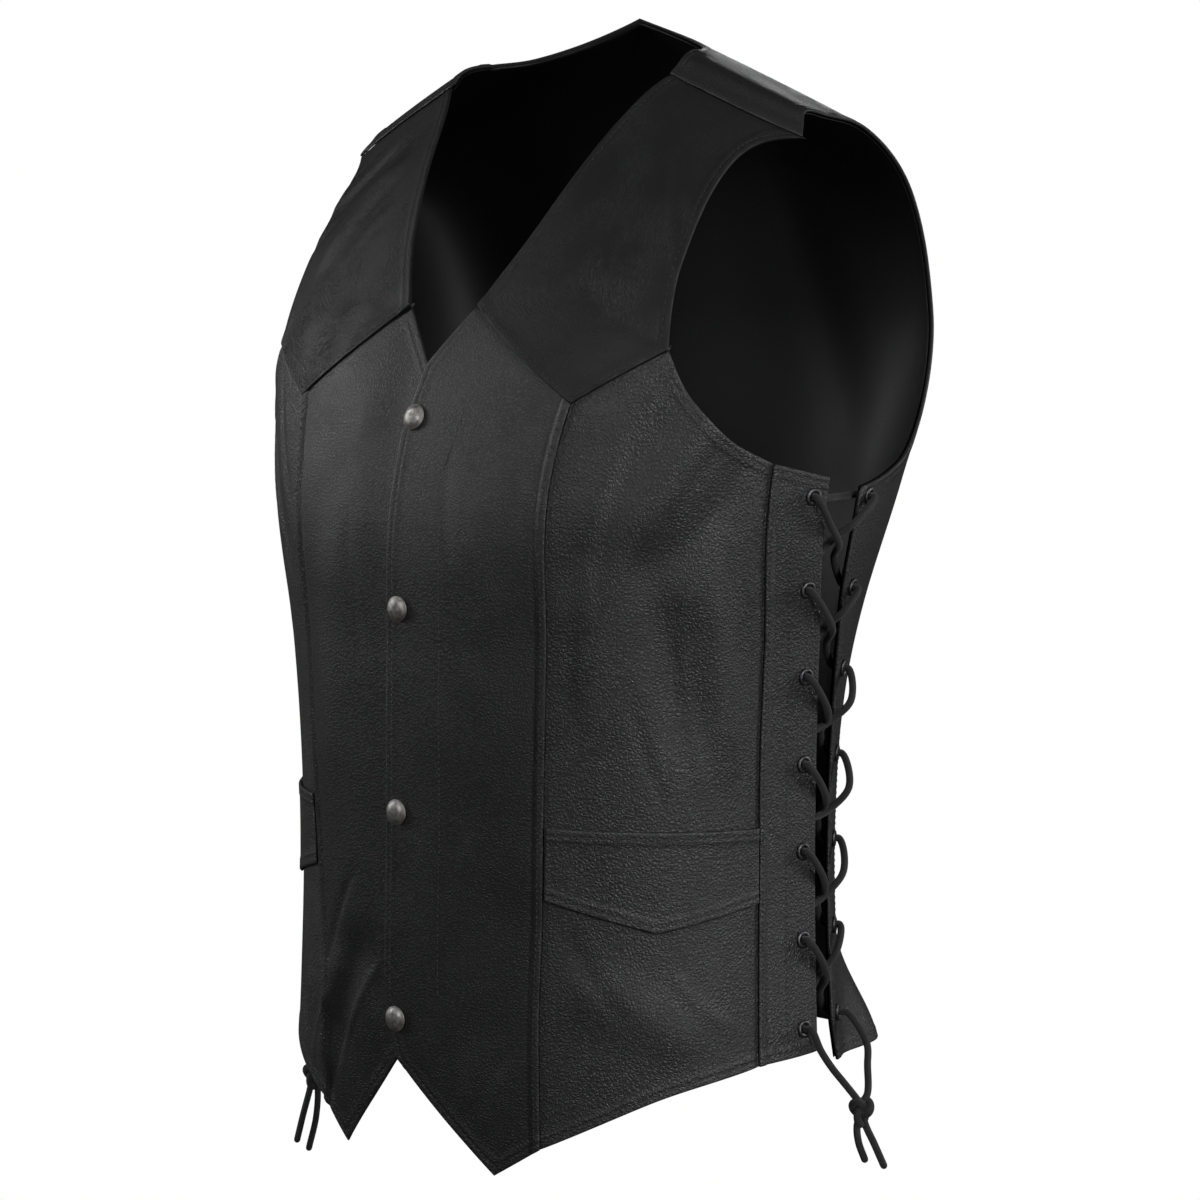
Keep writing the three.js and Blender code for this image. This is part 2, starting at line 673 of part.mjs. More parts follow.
// One lace of a side: from the bar between the top eyelets, then out of each eyelet, across the gap and
// under the other edge to the next. It ends just outside its last eyelet.
function laceRoute(side, startsAtFront) {
  const seatAt = (i) => {
    const atFront = (i % 2 === 0) === startsAtFront;
    return { atFront, ...(atFront ? stripSeats : backSeats)[side][i] };
  };
  const past = (atFront, level, fromEdge) => (atFront ? -fromEdge : lacingGap(level) + fromEdge);
  const through = ({ centre, normal }) => [-6.2, -1, laceExit].map((height) => (
    centre.clone().addScaledVector(normal, height).toArray()));
  const first = seatAt(0);
  const barLevel = first.level + 3;
  const middle = lacingGap(barLevel) / 2 + (startsAtFront ? -0.2 : 0.2);
  const points = [
    gapPoint(side, middle, barLevel, laceInside - barDrop),
    gapPoint(side, past(first.atFront, barLevel, 6), barLevel, laceInside - barDrop),
  ];
  for (let i = 0; i < eyeletCount; i += 1) {
    const here = seatAt(i);
    const span = (fraction, fromEdge, height, atFront) => {
      const level = here.level + fraction * eyeletPitch;
      return gapPoint(side, past(atFront, level, fromEdge), level, height);
    };
    points.push(...through(here));
    if (i === eyeletCount - 1) break;
    const lean = here.atFront ? laceCrossing : -laceCrossing;
    points.push(
      span(0.28, 0, laceOutside, here.atFront),
      gapPoint(side, lacingGap(here.level) / 2, here.level + 0.5 * eyeletPitch, lean),
      span(0.72, 0, laceInside, !here.atFront),
    );
  }
  return points;
}

// Free ends: from the last eyelets to the knot, and the tails below it. One table a side.
const tieRoutes = {
  left: {
    front: [[189, 6, -572], [193, 12, -583], [197, 18, -592], [202, 23.4, -601.4]],
    back: [[192, 48, -575], [197, 42, -587], [204.6, 31, -600.2]],
    knot: [204, 26, -609],
    tailFront: [[202.8, 23.4, -618.4], [205, 22, -627], [208, 24, -637]],
    tailBack: [[205.4, 28, -617.4], [211, 29, -628], [216, 32, -641]],
  },
  right: {
    front: [[-191, -2, -574], [-196, -5, -592], [-202, -10, -615], [-208.8, -14.5, -645.3]],
    back: [[-193, 46, -576], [-201, 32, -594], [-209, 10, -618], [-212.6, -9.5, -645.3]],
    knot: [-211, -14, -654],
    tailFront: [[-211.8, -16.6, -662.9], [-214, -21, -680], [-216, -25, -697]],
    tailBack: [[-209.2, -12.2, -663.1], [-208, -15, -682], [-211, -19, -703]],
  },
};

function knotGeometry(centre) {
  const core = new THREE.SphereGeometry(1, 8, 5).scale(6.2, 5.6, 9.2);
  const ring = (radius, tilt, turn) => new THREE.TorusGeometry(radius, laceRadius, 5, 10)
    .rotateX(tilt).rotateZ(turn);
  const upper = ring(5.6, 0.35, 0.3).translate(0, 0, 3.6);
  const lower = ring(5.2, -0.45, 1.4).translate(0, 0, -3.4);
  const solid = toSolid(core).add(toSolid(upper)).add(toSolid(lower));
  return toGeometry(solid).translate(...centre);
}

// Panels
const sides = { left: 1, right: -1 };
for (const [name, side] of Object.entries(sides)) {
  addMesh(`front_centre_${name}`, frontCentre(name, side), 'leather');
  addMesh(`front_side_${name}`, frontSide(name, side), 'leather');
  addMesh(`front_yoke_${name}`, frontYoke(name, side), 'yoke');
  addMesh(`pocket_flap_${name}`, pocketFlap(name, side), 'leather');
  const strip = wall(stripGrid, side, outerFace, innerFace);
  addMesh(`lacing_strip_${name}`, drilled(strip, stripSeats[side]), 'leather');
}
const backHoles = [...backSeats[1], ...backSeats[-1]];
const lining = wall(backGrid, 1, liningOuter, liningInner, { edge: liningInset });
addMesh('back', drilled(wall(backGrid, 1, outerFace, innerFace), backHoles), 'leather');
addMesh('back_lining', drilled(lining, backHoles), 'lining');

// Fastenings
snapLevels.forEach((level, i) => {
  const spot = { centre: vestPoint(0, level, outerFace + snapLift), normal: bodyNormal(0, level) };
  addMesh(`snap_${i + 1}`, placed(snapGeometry(), spot), 'snap');
});

const stripBarrel = leather + 0.5;
const backBarrel = leather + liningGap + liningWall + 0.4;
for (const [name, side] of Object.entries(sides)) {
  stripSeats[side].forEach((spot, i) => {
    addMesh(`eyelet_front_${name}_${i + 1}`, placed(eyeletGeometry(stripBarrel), spot), 'eyelet');
  });
  backSeats[side].forEach((spot, i) => {
    addMesh(`eyelet_back_${name}_${i + 1}`, placed(eyeletGeometry(backBarrel), spot), 'eyelet');
  });
}

// Laces
for (const [name, side] of Object.entries(sides)) {
  addMesh(`lace_a_${name}`, cord(laceRoute(side, true)), 'lace');
  addMesh(`lace_b_${name}`, cord(laceRoute(side, false)), 'lace');
  const { front, back, knot, tailFront, tailBack } = tieRoutes[name];
  const leave = ({ centre, normal }) => [laceExit + clearance, laceExit + 2.4].map((height) => (
    centre.clone().addScaledVector(normal, height).toArray()));
  const last = eyeletCount - 1;
  addMesh(`tie_front_${name}`, cord([...leave(stripSeats[side][last]), ...front]), 'lace');
  addMesh(`tie_back_${name}`, cord([...leave(backSeats[side][last]), ...back]), 'lace');
  addMesh(`knot_${name}`, knotGeometry(knot), 'lace');
  addMesh(`tail_front_${name}`, cord(tailFront), 'lace');
  addMesh(`tail_back_${name}`, cord(tailBack), 'lace');
}

export default vest;
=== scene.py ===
import math

import bmesh
import bpy
import numpy as np
from mathutils import Matrix, Vector, kdtree


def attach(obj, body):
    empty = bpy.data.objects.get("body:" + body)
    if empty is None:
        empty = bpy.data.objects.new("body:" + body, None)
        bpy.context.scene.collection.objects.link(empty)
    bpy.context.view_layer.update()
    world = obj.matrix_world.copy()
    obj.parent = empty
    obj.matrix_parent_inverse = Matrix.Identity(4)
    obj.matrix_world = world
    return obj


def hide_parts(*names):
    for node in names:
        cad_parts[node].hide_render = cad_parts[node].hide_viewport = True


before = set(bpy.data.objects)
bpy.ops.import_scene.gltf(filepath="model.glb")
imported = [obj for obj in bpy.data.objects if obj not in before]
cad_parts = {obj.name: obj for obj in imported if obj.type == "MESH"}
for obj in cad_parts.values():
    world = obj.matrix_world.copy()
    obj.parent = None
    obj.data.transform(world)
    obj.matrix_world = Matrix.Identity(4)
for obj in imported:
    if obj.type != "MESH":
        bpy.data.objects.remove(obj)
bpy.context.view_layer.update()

# A black leather vest, worn but empty. Lengths here are millimetres until a mesh is made.
scene = bpy.context.scene
mm = 0.001  # metres
print("frame loaded")

# The camera stands at the wearer's left front, a little above the chest
view = {"azimuth": 40, "elevation": 6.2, "aim": (15.8, 13.2, -321.8), "distance": 1730, "lens": 84.93}


def placeCamera():
    turn, tip = math.radians(view["azimuth"]), math.radians(view["elevation"])
    back = Vector((math.sin(turn) * math.cos(tip), -math.cos(turn) * math.cos(tip), math.sin(tip)))
    data = bpy.data.cameras.new("camera")
    data.lens = view["lens"]
    data.sensor_width = 36
    data.clip_end = 60
    camera = bpy.data.objects.new("camera", data)
    scene.collection.objects.link(camera)
    camera.location = (Vector(view["aim"]) + back * view["distance"]) * mm
    camera.rotation_euler = back.to_track_quat("Z", "Y").to_euler()
    scene.camera = camera


placeCamera()

# The body the vest is cut for. A level counts down from the shoulder ridge: negative at the front,
# positive at the back. Each section is a superellipse that slopes down by its drop.
sectionColumns = ("level", "frontZ", "frontY", "backZ", "backY", "sideY", "halfWidth",
                  "frontDrop", "backDrop", "frontSquare", "backSquare")
sectionRows = (
    (0, 38, 8, 38, 8, 34, 205, 88, 88, 2.6, 2.6),
    (30, 26, -6, 39, 40, 34, 205, 82, 92, 2.6, 2.8),
    (70, -8, -30, 26, 82, 32, 205, 66, 82, 2.6, 3.4),
    (120, -66, -66, -36, 124, 26, 205, 36, 44, 2.7, 4.2),
    (180, -156, -114, -140, 152, 20, 202, 8, 10, 2.8, 4.6),
    (245, -243, -141, -245, 156, 14, 192, 0, 0, 2.5, 3.0),
    (340, -340, -147, -340, 150, 8, 177, 0, 0, 2.2, 2.2),
    (450, -450, -149, -450, 140, 4, 171, 0, 0, 2.05, 2.05),
    (560, -560, -151, -560, 146, 4, 177, 0, 0, 2.0, 2.0),
    (665, -665, -150, -665, 160, 6, 190, 0, 0, 2.0, 2.0),
)
cut = {
    "leather": 1.6,
    "liningWall": 0.9,
    "liningGap": 0.85,
    "liningInset": 1.4,
    "seamInset": 0.12,
    "foldRise": 1.1,
    "flapMargin": 1.0,
    "flapLift": 0.5,
    "stripFlare": 5.5,
    "backFlare": 3.5,
    "hemFlare": 20,
    "backBand": 22,
    "edgeGirth": 267,
    "stripTopGirth": 227,
    "stripLowGirth": 224,
    "hemLevel": 576,
    "backHemLevel": 586,
    "gapTop": 27,
    "gapLow": 20,
    "underlap": 22,
    "underDrop": 2.3,
    "lapEdge": -9,
    "eyeletCount": 7,
    "eyeletTop": 249.5,
    "eyeletPitch": 51.6,
    "eyeletEdge": 11,
    "eyeletLift": 0.35,
}
outerFace = cut["leather"] / 2


def ramp(value):
    t = np.clip(value, 0, 1)
    return t * t * (3 - 2 * t)


def smoothCurve(xs, ys):
    xs, ys = np.array(xs, float), np.array(ys, float)
    step = np.diff(xs)
    slope = np.diff(ys) / step
    tangent = np.concatenate(([slope[0]], (slope[:-1] * step[1:] + slope[1:] * step[:-1])
                              / (step[1:] + step[:-1]), [slope[-1]]))

    def curve(value):
        x = np.clip(value, xs[0], xs[-1])
        i = np.clip(np.searchsorted(xs, x, side="right") - 1, 0, len(xs) - 2)
        t = (x - xs[i]) / step[i]
        s = 1 - t
        return (ys[i] * s * s * (1 + 2 * t) + ys[i + 1] * t * t * (3 - 2 * t)
                + step[i] * (tangent[i] * t * s * s - tangent[i + 1] * t * t * s))

    return curve


def signedCurve(frontName, backName):
    table = np.array(sectionRows, float)
    levels = table[:, 0]
    front = table[1:, sectionColumns.index(frontName)][::-1]
    back = table[:, sectionColumns.index(backName)]
    return smoothCurve(np.concatenate((-levels[1:][::-1], levels)), np.concatenate((front, back)))


def sweepBody(levels, steps=200, reachDegrees=130):
    # Points round each section from its centre past the side, and the girth walked to each
    names = {"z": ("frontZ", "backZ"), "y": ("frontY", "backY"), "farY": ("backY", "frontY"),
             "sideY": ("sideY", "sideY"), "half": ("halfWidth", "halfWidth"),
             "drop": ("frontDrop", "backDrop"), "square": ("frontSquare", "backSquare"),
             "farSquare": ("backSquare", "frontSquare")}
    at = {key: signedCurve(*pair)(levels)[:, None] for key, pair in names.items()}
    angle = np.radians(np.linspace(0, reachDegrees, steps + 1))[None, :]
    near = angle <= math.pi / 2
    power = 2 / np.where(near, at["square"], at["farSquare"])
    reach = np.sin(angle) ** power
    sideY = at["sideY"]
    y = sideY + (np.where(near, at["y"], at["farY"]) - sideY) * np.abs(np.cos(angle)) ** power
    points = np.stack((at["half"] * reach, y, at["z"] - at["drop"] * reach ** 1.05), axis=2)
    steps3 = np.linalg.norm(np.diff(points, axis=1), axis=2)
    girths = np.concatenate((np.zeros((len(levels), 1)), np.cumsum(steps3, axis=1)), axis=1)
    return points, girths


tableLevels = np.arange(-700, 701, 1.0)
tableGirths = np.arange(0, 346, 1.0)


def makeBodyTable():
    points, girths = sweepBody(tableLevels)
    table = np.empty((len(tableLevels), len(tableGirths), 3))
    for i in range(len(tableLevels)):
        for axis in range(3):
            table[i, :, axis] = np.interp(tableGirths, girths[i], points[i, :, axis])
    widest = np.argmax(points[:, :, 0], axis=1)
    return table, girths[np.arange(len(tableLevels)), widest]


bodyTable, quarterGirths = makeBodyTable()


def halfGirth(level):
    front = np.interp(-level, tableLevels, quarterGirths)
    return front + np.interp(level, tableLevels, quarterGirths)


def bodyPoint(girth, level):
    girth, level = np.broadcast_arrays(np.asarray(girth, float), np.asarray(level, float))
    u = np.clip(np.abs(girth), 0, tableGirths[-1] - 1e-6)
    v = np.clip(level - tableLevels[0], 0, len(tableLevels) - 1 - 1e-6)
    i, j = v.astype(int), u.astype(int)
    fv, fu = (v - i)[..., None], (u - j)[..., None]
    point = ((1 - fv) * ((1 - fu) * bodyTable[i, j] + fu * bodyTable[i, j + 1])
             + fv * ((1 - fu) * bodyTable[i + 1, j] + fu * bodyTable[i + 1, j + 1]))
    point[..., 0] = np.where(girth < 0, -point[..., 0], point[..., 0])
    return point


def unit(vectors):
    return vectors / np.linalg.norm(vectors, axis=-1, keepdims=True)


def bodyNormal(girth, level, step=4):
    across = bodyPoint(girth + step, level) - bodyPoint(girth - step, level)
    along = bodyPoint(girth, level + step) - bodyPoint(girth, level - step)
    return unit(np.cross(across, along))


def lacingGap(level):
    return cut["gapLow"] + (cut["gapTop"] - cut["gapLow"]) * (1 - ramp((level - cut["eyeletTop"]) / 70))


def backEdge(level):
    return halfGirth(level) - cut["edgeGirth"] - lacingGap(level)


# Large soft folds, and the finer creases that the leather has taken. Side is the sign of the girth,
# lean is degrees from straight down toward +girth, and a negative depth is a trough.
foldColumns = ("side", "girth", "level", "length", "width", "lean", "depth")
foldRows = (
    (1, 168, -238, 120, 13, -38, 3.2),
    (1, 143, -246, 150, 11, -27, -3.4),
    (1, 190, -262, 110, 14, -45, -3.6),
    (1, 126, -300, 190, 16, -8, 3.0),
    (1, 166, -330, 170, 15, 14, -3.0),
    (1, 200, -350, 150, 12, 4, 2.6),
    (1, 60, -330, 240, 22, 3, 2.2),
    (1, 70, -520, 150, 18, -12, -2.4),
    (1, 150, -540, 110, 16, 62, 2.6),
    (-1, 140, -95, 90, 9, -40, -2.6),
    (-1, 118, -120, 90, 9, -34, 2.4),
    (-1, 150, -250, 150, 13, 30, -3.2),
    (-1, 60, -350, 230, 20, -4, 2.4),
    (-1, 48, -545, 110, 12, -24, -3.4),
    (-1, 66, -560, 100, 10, -18, 3.2),
    (-1, 180, -380, 200, 16, -5, 3.0),
    (1, 90, 190, 190, 20, 24, -3.2),
    (-1, 84, 205, 180, 20, -26, -3.2),
    (1, 130, 330, 240, 22, 6, 3.0),
    (-1, 122, 350, 220, 22, -4, 3.0),
    (1, 50, 440, 200, 20, -8, -2.8),
    (-1, 60, 470, 180, 20, 10, -2.6),
)
creaseRows = (
    (1, 176, -246, 74, 3.6, -33, -1.1),
    (1, 160, -240, 96, 3.2, -26, -1.0),
    (1, 150, -262, 110, 4.2, -20, 1.0),
    (1, 133, -268, 120, 3.4, -12, -0.9),
    (1, 186, -285, 80, 3.0, -30, 0.8),
    (1, 204, -300, 90, 3.6, -14, -0.9),
    (1, 112, -330, 110, 4.4, -4, -0.8),
    (1, 178, -365, 120, 4.0, 8, 0.9),
    (1, 152, -390, 90, 3.6, 16, -0.6),
    (1, 124, -520, 90, 4.6, 34, -0.9),
    (1, 190, -540, 70, 3.8, 50, 0.8),
    (1, 34, -262, 80, 4.0, 12, -0.6),
    (1, 74, -268, 90, 4.6, -10, -0.8),
    (1, 44, -470, 90, 4.2, -16, 0.8),
    (1, 60, -585, 70, 3.6, -30, -0.9),
    (1, 128, -110, 70, 3.4, 24, -0.9),
    (1, 140, -140, 60, 3.0, 32, 0.8),
    (1, 104, -150, 70, 3.6, 12, -0.6),
    (-1, 150, -66, 64, 2.8, -44, -1.3),
    (-1, 142, -84, 84, 2.6, -47, 1.1),
    (-1, 132, -100, 92, 2.8, -42, -1.4),
    (-1, 121, -112, 84, 2.6, -50, 1.1),
    (-1, 112, -128, 76, 2.8, -38, -1.1),
    (-1, 100, -138, 66, 2.4, -46, 0.8),
    (-1, 146, -124, 60, 2.6, -60, -1.0),
    (-1, 128, -230, 90, 3.6, 26, -1.0),
    (-1, 160, -256, 100, 3.4, 34, 1.0),
    (-1, 182, -290, 90, 3.8, 22, -1.0),
    (-1, 40, -300, 100, 4.4, 8, -0.8),
    (-1, 56, -500, 80, 3.2, -26, -1.2),
    (-1, 36, -552, 90, 3.0, -30, 1.2),
    (-1, 58, -588, 70, 2.8, -22, -1.4),
    (-1, 80, -570, 80, 3.2, -34, 1.1),
    (-1, 120, -560, 70, 3.8, 24, -1.0),
    (1, 150, 160, 90, 4.0, 30, -0.7),
    (1, 128, 205, 110, 4.4, 22, 0.6),
    (-1, 146, 170, 100, 4.2, -28, -0.7),
    (-1, 118, 215, 100, 4.0, -20, 0.5),
    (1, 60, 120, 90, 4.4, 64, -0.5),
    (-1, 40, 134, 90, 4.4, -70, -0.5),
    (1, 96, 300, 140, 5.0, 10, -0.6),
    (-1, 84, 320, 130, 4.6, -14, 0.6),
    (1, 160, 430, 110, 4.2, -18, -0.6),
    (-1, 150, 450, 120, 4.4, 16, -0.6),
    (1, 30, 520, 90, 4.6, -30, 0.5),
    (-1, 90, 540, 80, 4.2, 34, -0.6),
    (1, 120, 545, 80, 4.0, 28, 0.6),
)


def rowsHeight(rows, girth, level, bend):
    total = np.zeros(np.shape(girth))
    for row in rows:
        fold = dict(zip(foldColumns, row))
        lean = math.radians(fold["lean"])
        right = girth - fold["side"] * fold["girth"]
        down = np.abs(level) - abs(fold["level"])
        along = right * math.sin(lean) + down * math.cos(lean)
        across = right * math.cos(lean) - down * math.sin(lean) - bend * (along / fold["length"]) ** 2 * 18
        end = np.clip(1 - np.abs(along) / (fold["length"] / 2), 0, 1)
        height = fold["depth"] * ramp(end * 1.6) * np.exp(-((across / fold["width"]) ** 2))
        total += np.where((level < 0) == (fold["level"] < 0), height, 0)
    return total


def flare(girth, level):
    reach = np.abs(girth)
    across = ramp((reach - cut["stripTopGirth"]) / (cut["edgeGirth"] - cut["stripTopGirth"]))
    front = cut["stripFlare"] * across * ramp((-level - 215) / 20)
    fromEdge = backEdge(np.maximum(level, 245)) - reach
    lifted = cut["backFlare"] * ramp((level - 200) / 45) * ramp(1 - fromEdge / 45)
    corner = ramp((fromEdge - cut["backBand"]) / 40) * ramp((150 - fromEdge) / 80)
    back = lifted + cut["hemFlare"] * corner * ramp((level - 505) / 85) ** 1.5
    return np.where(level < 0, front, np.where(level < 200, 0, back))


def shapeHeight(girth, level, creased=True):
    reach = np.abs(girth)
    calmFrom = np.where(level < 0, 196, backEdge(np.maximum(level, 245)) - 50)
    calm = 1 - ramp((reach - calmFrom) / 24)
    ridge = ramp((np.abs(level) - 50) / 40)
    folds = rowsHeight(foldRows, girth, level, 0)
    if creased:
        folds = folds + rowsHeight(creaseRows, girth, level, 1)
    return folds * calm * ridge + flare(girth, level)


def vestPoint(girth, level, offset=0, creased=True):
    girth, level = np.broadcast_arrays(np.asarray(girth, float), np.asarray(level, float))
    height = shapeHeight(girth, level, creased) + offset
    return bodyPoint(girth, level) + bodyNormal(girth, level) * height[..., None]


# Outlines in girth and level for one side; the other side flips the girth
neckCorner = (26, -170)
neckFoot = (0, -194)
notch = (1, -577)
underTop = (-cut["underlap"], -208)
underBottom = (-cut["underlap"], -586)
yokePoint = (106, -208)
yokeCorner = (156, -184)
shoulderNeck = (92, -36)
shoulderArm = (187, -44)
stripTop = (cut["stripTopGirth"], -233)
edgeTop = (cut["edgeGirth"], -240)
hang = {
    "left": {
        "side": 1,
        "hemPoint": (67, -636),
        "princess": ((100, -245), (99, -317), (96, -420), (95, -490), (94, -545), (95, -618)),
        "arm": ((148, -150), (148, -112), (154, -80), (166, -60)),
    },
    "right": {
        "side": -1,
        "hemPoint": (46, -636),
        "princess": ((102, -245), (97, -317), (89, -420), (81, -490), (72, -545), (73, -616)),
        "arm": ((161, -150), (164, -112), (168, -80), (176, -60)),
    },
}


def evenly(line, count):
    # The same line with count + 1 evenly spaced points
    line = np.asarray(line, float)
    walked = np.concatenate(([0], np.cumsum(np.linalg.norm(np.diff(line, axis=0), axis=1))))
    at = np.linspace(0, walked[-1], count + 1)
    return np.stack([np.interp(at, walked, line[:, k]) for k in range(line.shape[1])], axis=1)


def lengthOf(line):
    return float(np.linalg.norm(np.diff(line, axis=0), axis=1).sum())


def trace(points, step=1.5):
    # A smooth outline through its points
    p = np.array(points, float)
    if len(p) > 2:
        before = np.concatenate((p[:1], p[:-2]))
        after = np.concatenate((p[2:], p[-1:]))
        t = np.linspace(0, 1, 24, endpoint=False)[None, :, None]
        start, end = p[:-1, None], p[1:, None]
        v0 = (p[1:] - before)[:, None] / 2
        v1 = (after - p[:-1])[:, None] / 2
        bend = ((2 * start - 2 * end + v0 + v1) * t ** 3 + (-3 * start + 3 * end - 2 * v0 - v1) * t ** 2
                + v0 * t + start)
        p = np.concatenate((bend.reshape(-1, 2), p[-1:]))
    return evenly(p, max(4, int(lengthOf(p) / step)))


def chain(*lines):
    return np.concatenate([line if i == 0 else line[1:] for i, line in enumerate(lines)])


def alongLine(line, t):
    walked = np.concatenate(([0], np.cumsum(np.linalg.norm(np.diff(line, axis=0), axis=1))))
    walked /= walked[-1]
    return np.stack([np.interp(t, walked, line[:, k]) for k in (0, 1)], axis=-1)


# Spacing of mesh lines near an edge, and inside
mesh = {"near": (0, 0.16, 0.42, 0.8, 1.3, 2.1, 3.1, 4.2, 5.1, 5.9, 6.7, 7.6, 9.0, 11.0), "inside": 3.3,
        "tuck": (0.7, 1.5, 2.4, 3.0)}


def spread(length, count, inset, pins):
    # Fractions along a row, close together near its ends, with chosen fractions met exactly
    head = (np.array(mesh["near"]) + inset) / length
    tail = 1 - head[::-1]
    middle = np.linspace(head[-1], tail[0], count + 2)
    stops = [(0, middle[0]), (count + 1, middle[-1])]
    for pin in pins:
        index = int(round((pin - middle[0]) / (middle[-1] - middle[0]) * (count + 1)))
        stops.append((min(max(index, 1), count), pin))
    stops.sort()
    middle = np.interp(np.arange(count + 2), [s[0] for s in stops], [s[1] for s in stops])
    return np.concatenate((head[:-1], middle, tail[1:]))


def patch(left, right, top, bottom, inset, topPins=(), bottomPins=(), inside=mesh["inside"]):
    # A grid of girths and levels between four outlines, in rows from top to bottom
    across = max(lengthOf(top), lengthOf(bottom))
    down = max(lengthOf(left), lengthOf(right))
    reach = 2 * mesh["near"][-1]
    columns = max(1, int((across - reach) / inside))
    rows = max(1, int((down - reach) / inside))
    rowCount, columnCount = rows + 2 * len(mesh["near"]), columns + 2 * len(mesh["near"])
    widths = np.linspace(lengthOf(top), lengthOf(bottom), rowCount)
    heights = np.linspace(lengthOf(left), lengthOf(right), columnCount)
    s = np.empty((rowCount, columnCount))
    t = np.empty((rowCount, columnCount))
    for r in range(rowCount):
        share = r / (rowCount - 1)
        high = spread(widths[r], columns, inset, topPins)
        low = spread(widths[r], columns, inset, bottomPins)
        s[r] = (1 - share) * high + share * low
    for c in range(columnCount):
        t[:, c] = spread(heights[c], rows, inset, ())
    sides = (1 - s)[..., None] * alongLine(left, t) + s[..., None] * alongLine(right, t)
    ends = (1 - t)[..., None] * alongLine(top, s) + t[..., None] * alongLine(bottom, s)
    corners = ((1 - s) * (1 - t))[..., None] * top[0] + (s * (1 - t))[..., None] * top[-1]
    corners += ((1 - s) * t)[..., None] * bottom[0] + (s * t)[..., None] * bottom[-1]
    return sides + ends - corners


def outward(grid, reach):
    # Rows that carry on past the grid's first row
    way = unit(grid[0] - grid[min(6, len(grid) - 1)])
    return grid[0] + way * reach


def tuck(grid, top=None, left=False, right=False):
    # Let a panel carry on under its neighbour at a lapped seam. A third number tells how far under a
    # point is. Top is the range of columns that carry on.
    grid = np.concatenate((grid, np.zeros((*grid.shape[:2], 1))), axis=2)
    if top is not None:
        panel = grid[:, top, :2]
        for reach in mesh["tuck"]:
            row = np.full((1, grid.shape[1], 3), np.nan)
            row[0, top, :2] = outward(panel, reach)
            row[0, top, 2] = reach
            grid = np.concatenate((row, grid))
    for wanted, flip in ((left, False), (right, True)):
        if not wanted:
            continue
        turnedGrid = (grid[:, ::-1] if flip else grid).transpose(1, 0, 2)
        rows = []
        for reach in mesh["tuck"]:
            row = np.full((1, turnedGrid.shape[1], 3), np.nan)
            row[0, :, :2] = outward(turnedGrid[..., :2], reach)
            row[0, :, 2] = np.maximum(turnedGrid[0, :, 2], reach)
            rows.insert(0, row)
        turnedGrid = np.concatenate((*rows, turnedGrid)).transpose(1, 0, 2)
        grid = turnedGrid[:, ::-1] if flip else turnedGrid
    return grid


def columnOf(grid, spot):
    return int(np.argmin(np.linalg.norm(grid[0] - np.array(spot), axis=1)))


def offsetLine(line, distance):
    # Moved to the right of its direction, in girth and level
    direction = unit(np.gradient(line, axis=0))
    return line + np.stack((direction[:, 1], -direction[:, 0]), axis=1) * distance


def distanceTo(points, line):
    # From each point to a line on the vest, in three dimensions
    dense = evenly(line, max(8, int(lengthOf(line) / 0.25)))
    tree = kdtree.KDTree(len(dense))
    for i, spot in enumerate(dense):
        tree.insert(spot, i)
    tree.balance()
    return np.array([tree.find(spot)[2] for spot in points])


def addMesh(name, points, faces, materials, faceMaterials=None, attributes=None):
    data = bpy.data.meshes.new(name)
    data.from_pydata((np.asarray(points) * mm).tolist(), [], faces)
    data.validate()
    for material in materials:
        data.materials.append(material)
    if faceMaterials is not None:
        data.polygons.foreach_set("material_index", faceMaterials)
    for key, values in (attributes or {}).items():
        layer = data.attributes.new(key, "FLOAT_VECTOR", "POINT")
        layer.data.foreach_set("vector", np.asarray(values, np.float32).ravel())
    data.shade_smooth()
    data.update()
    piece = bpy.data.objects.new(name, data)
    scene.collection.objects.link(piece)
    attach(piece, "root")
    return piece


# A socket whose maths reads as Python
class Value:
    def __init__(self, look, socket):
        self.look, self.socket = look, socket

    def math(self, operation, *others, flip=False):
        items = [self, *others]
        if flip:
            items.reverse()
        return self.look.make("ShaderNodeMath", {"operation": operation}, dict(enumerate(items)))

    def __add__(self, other):
        return self.math("ADD", other)

    def __sub__(self, other):
        return self.math("SUBTRACT", other)

    def __rsub__(self, other):
        return self.math("SUBTRACT", other, flip=True)

    def __mul__(self, other):
        return self.math("MULTIPLY", other)

    def __pow__(self, other):
        return self.math("POWER", other)

    __radd__ = __add__
    __rmul__ = __mul__

    def between(self, low, high):
        return self.look.make("ShaderNodeMapRange", {"interpolation_type": "SMOOTHSTEP"},
                              {"Value": self, "From Min": low, "From Max": high}, "Result")

    def near(self, centre, width):
        return 1 - (self - centre).math("ABSOLUTE").between(0, width)

    def ridge(self, sharp):
        return (1 - (self * 2 - 1).math("ABSOLUTE")) ** sharp


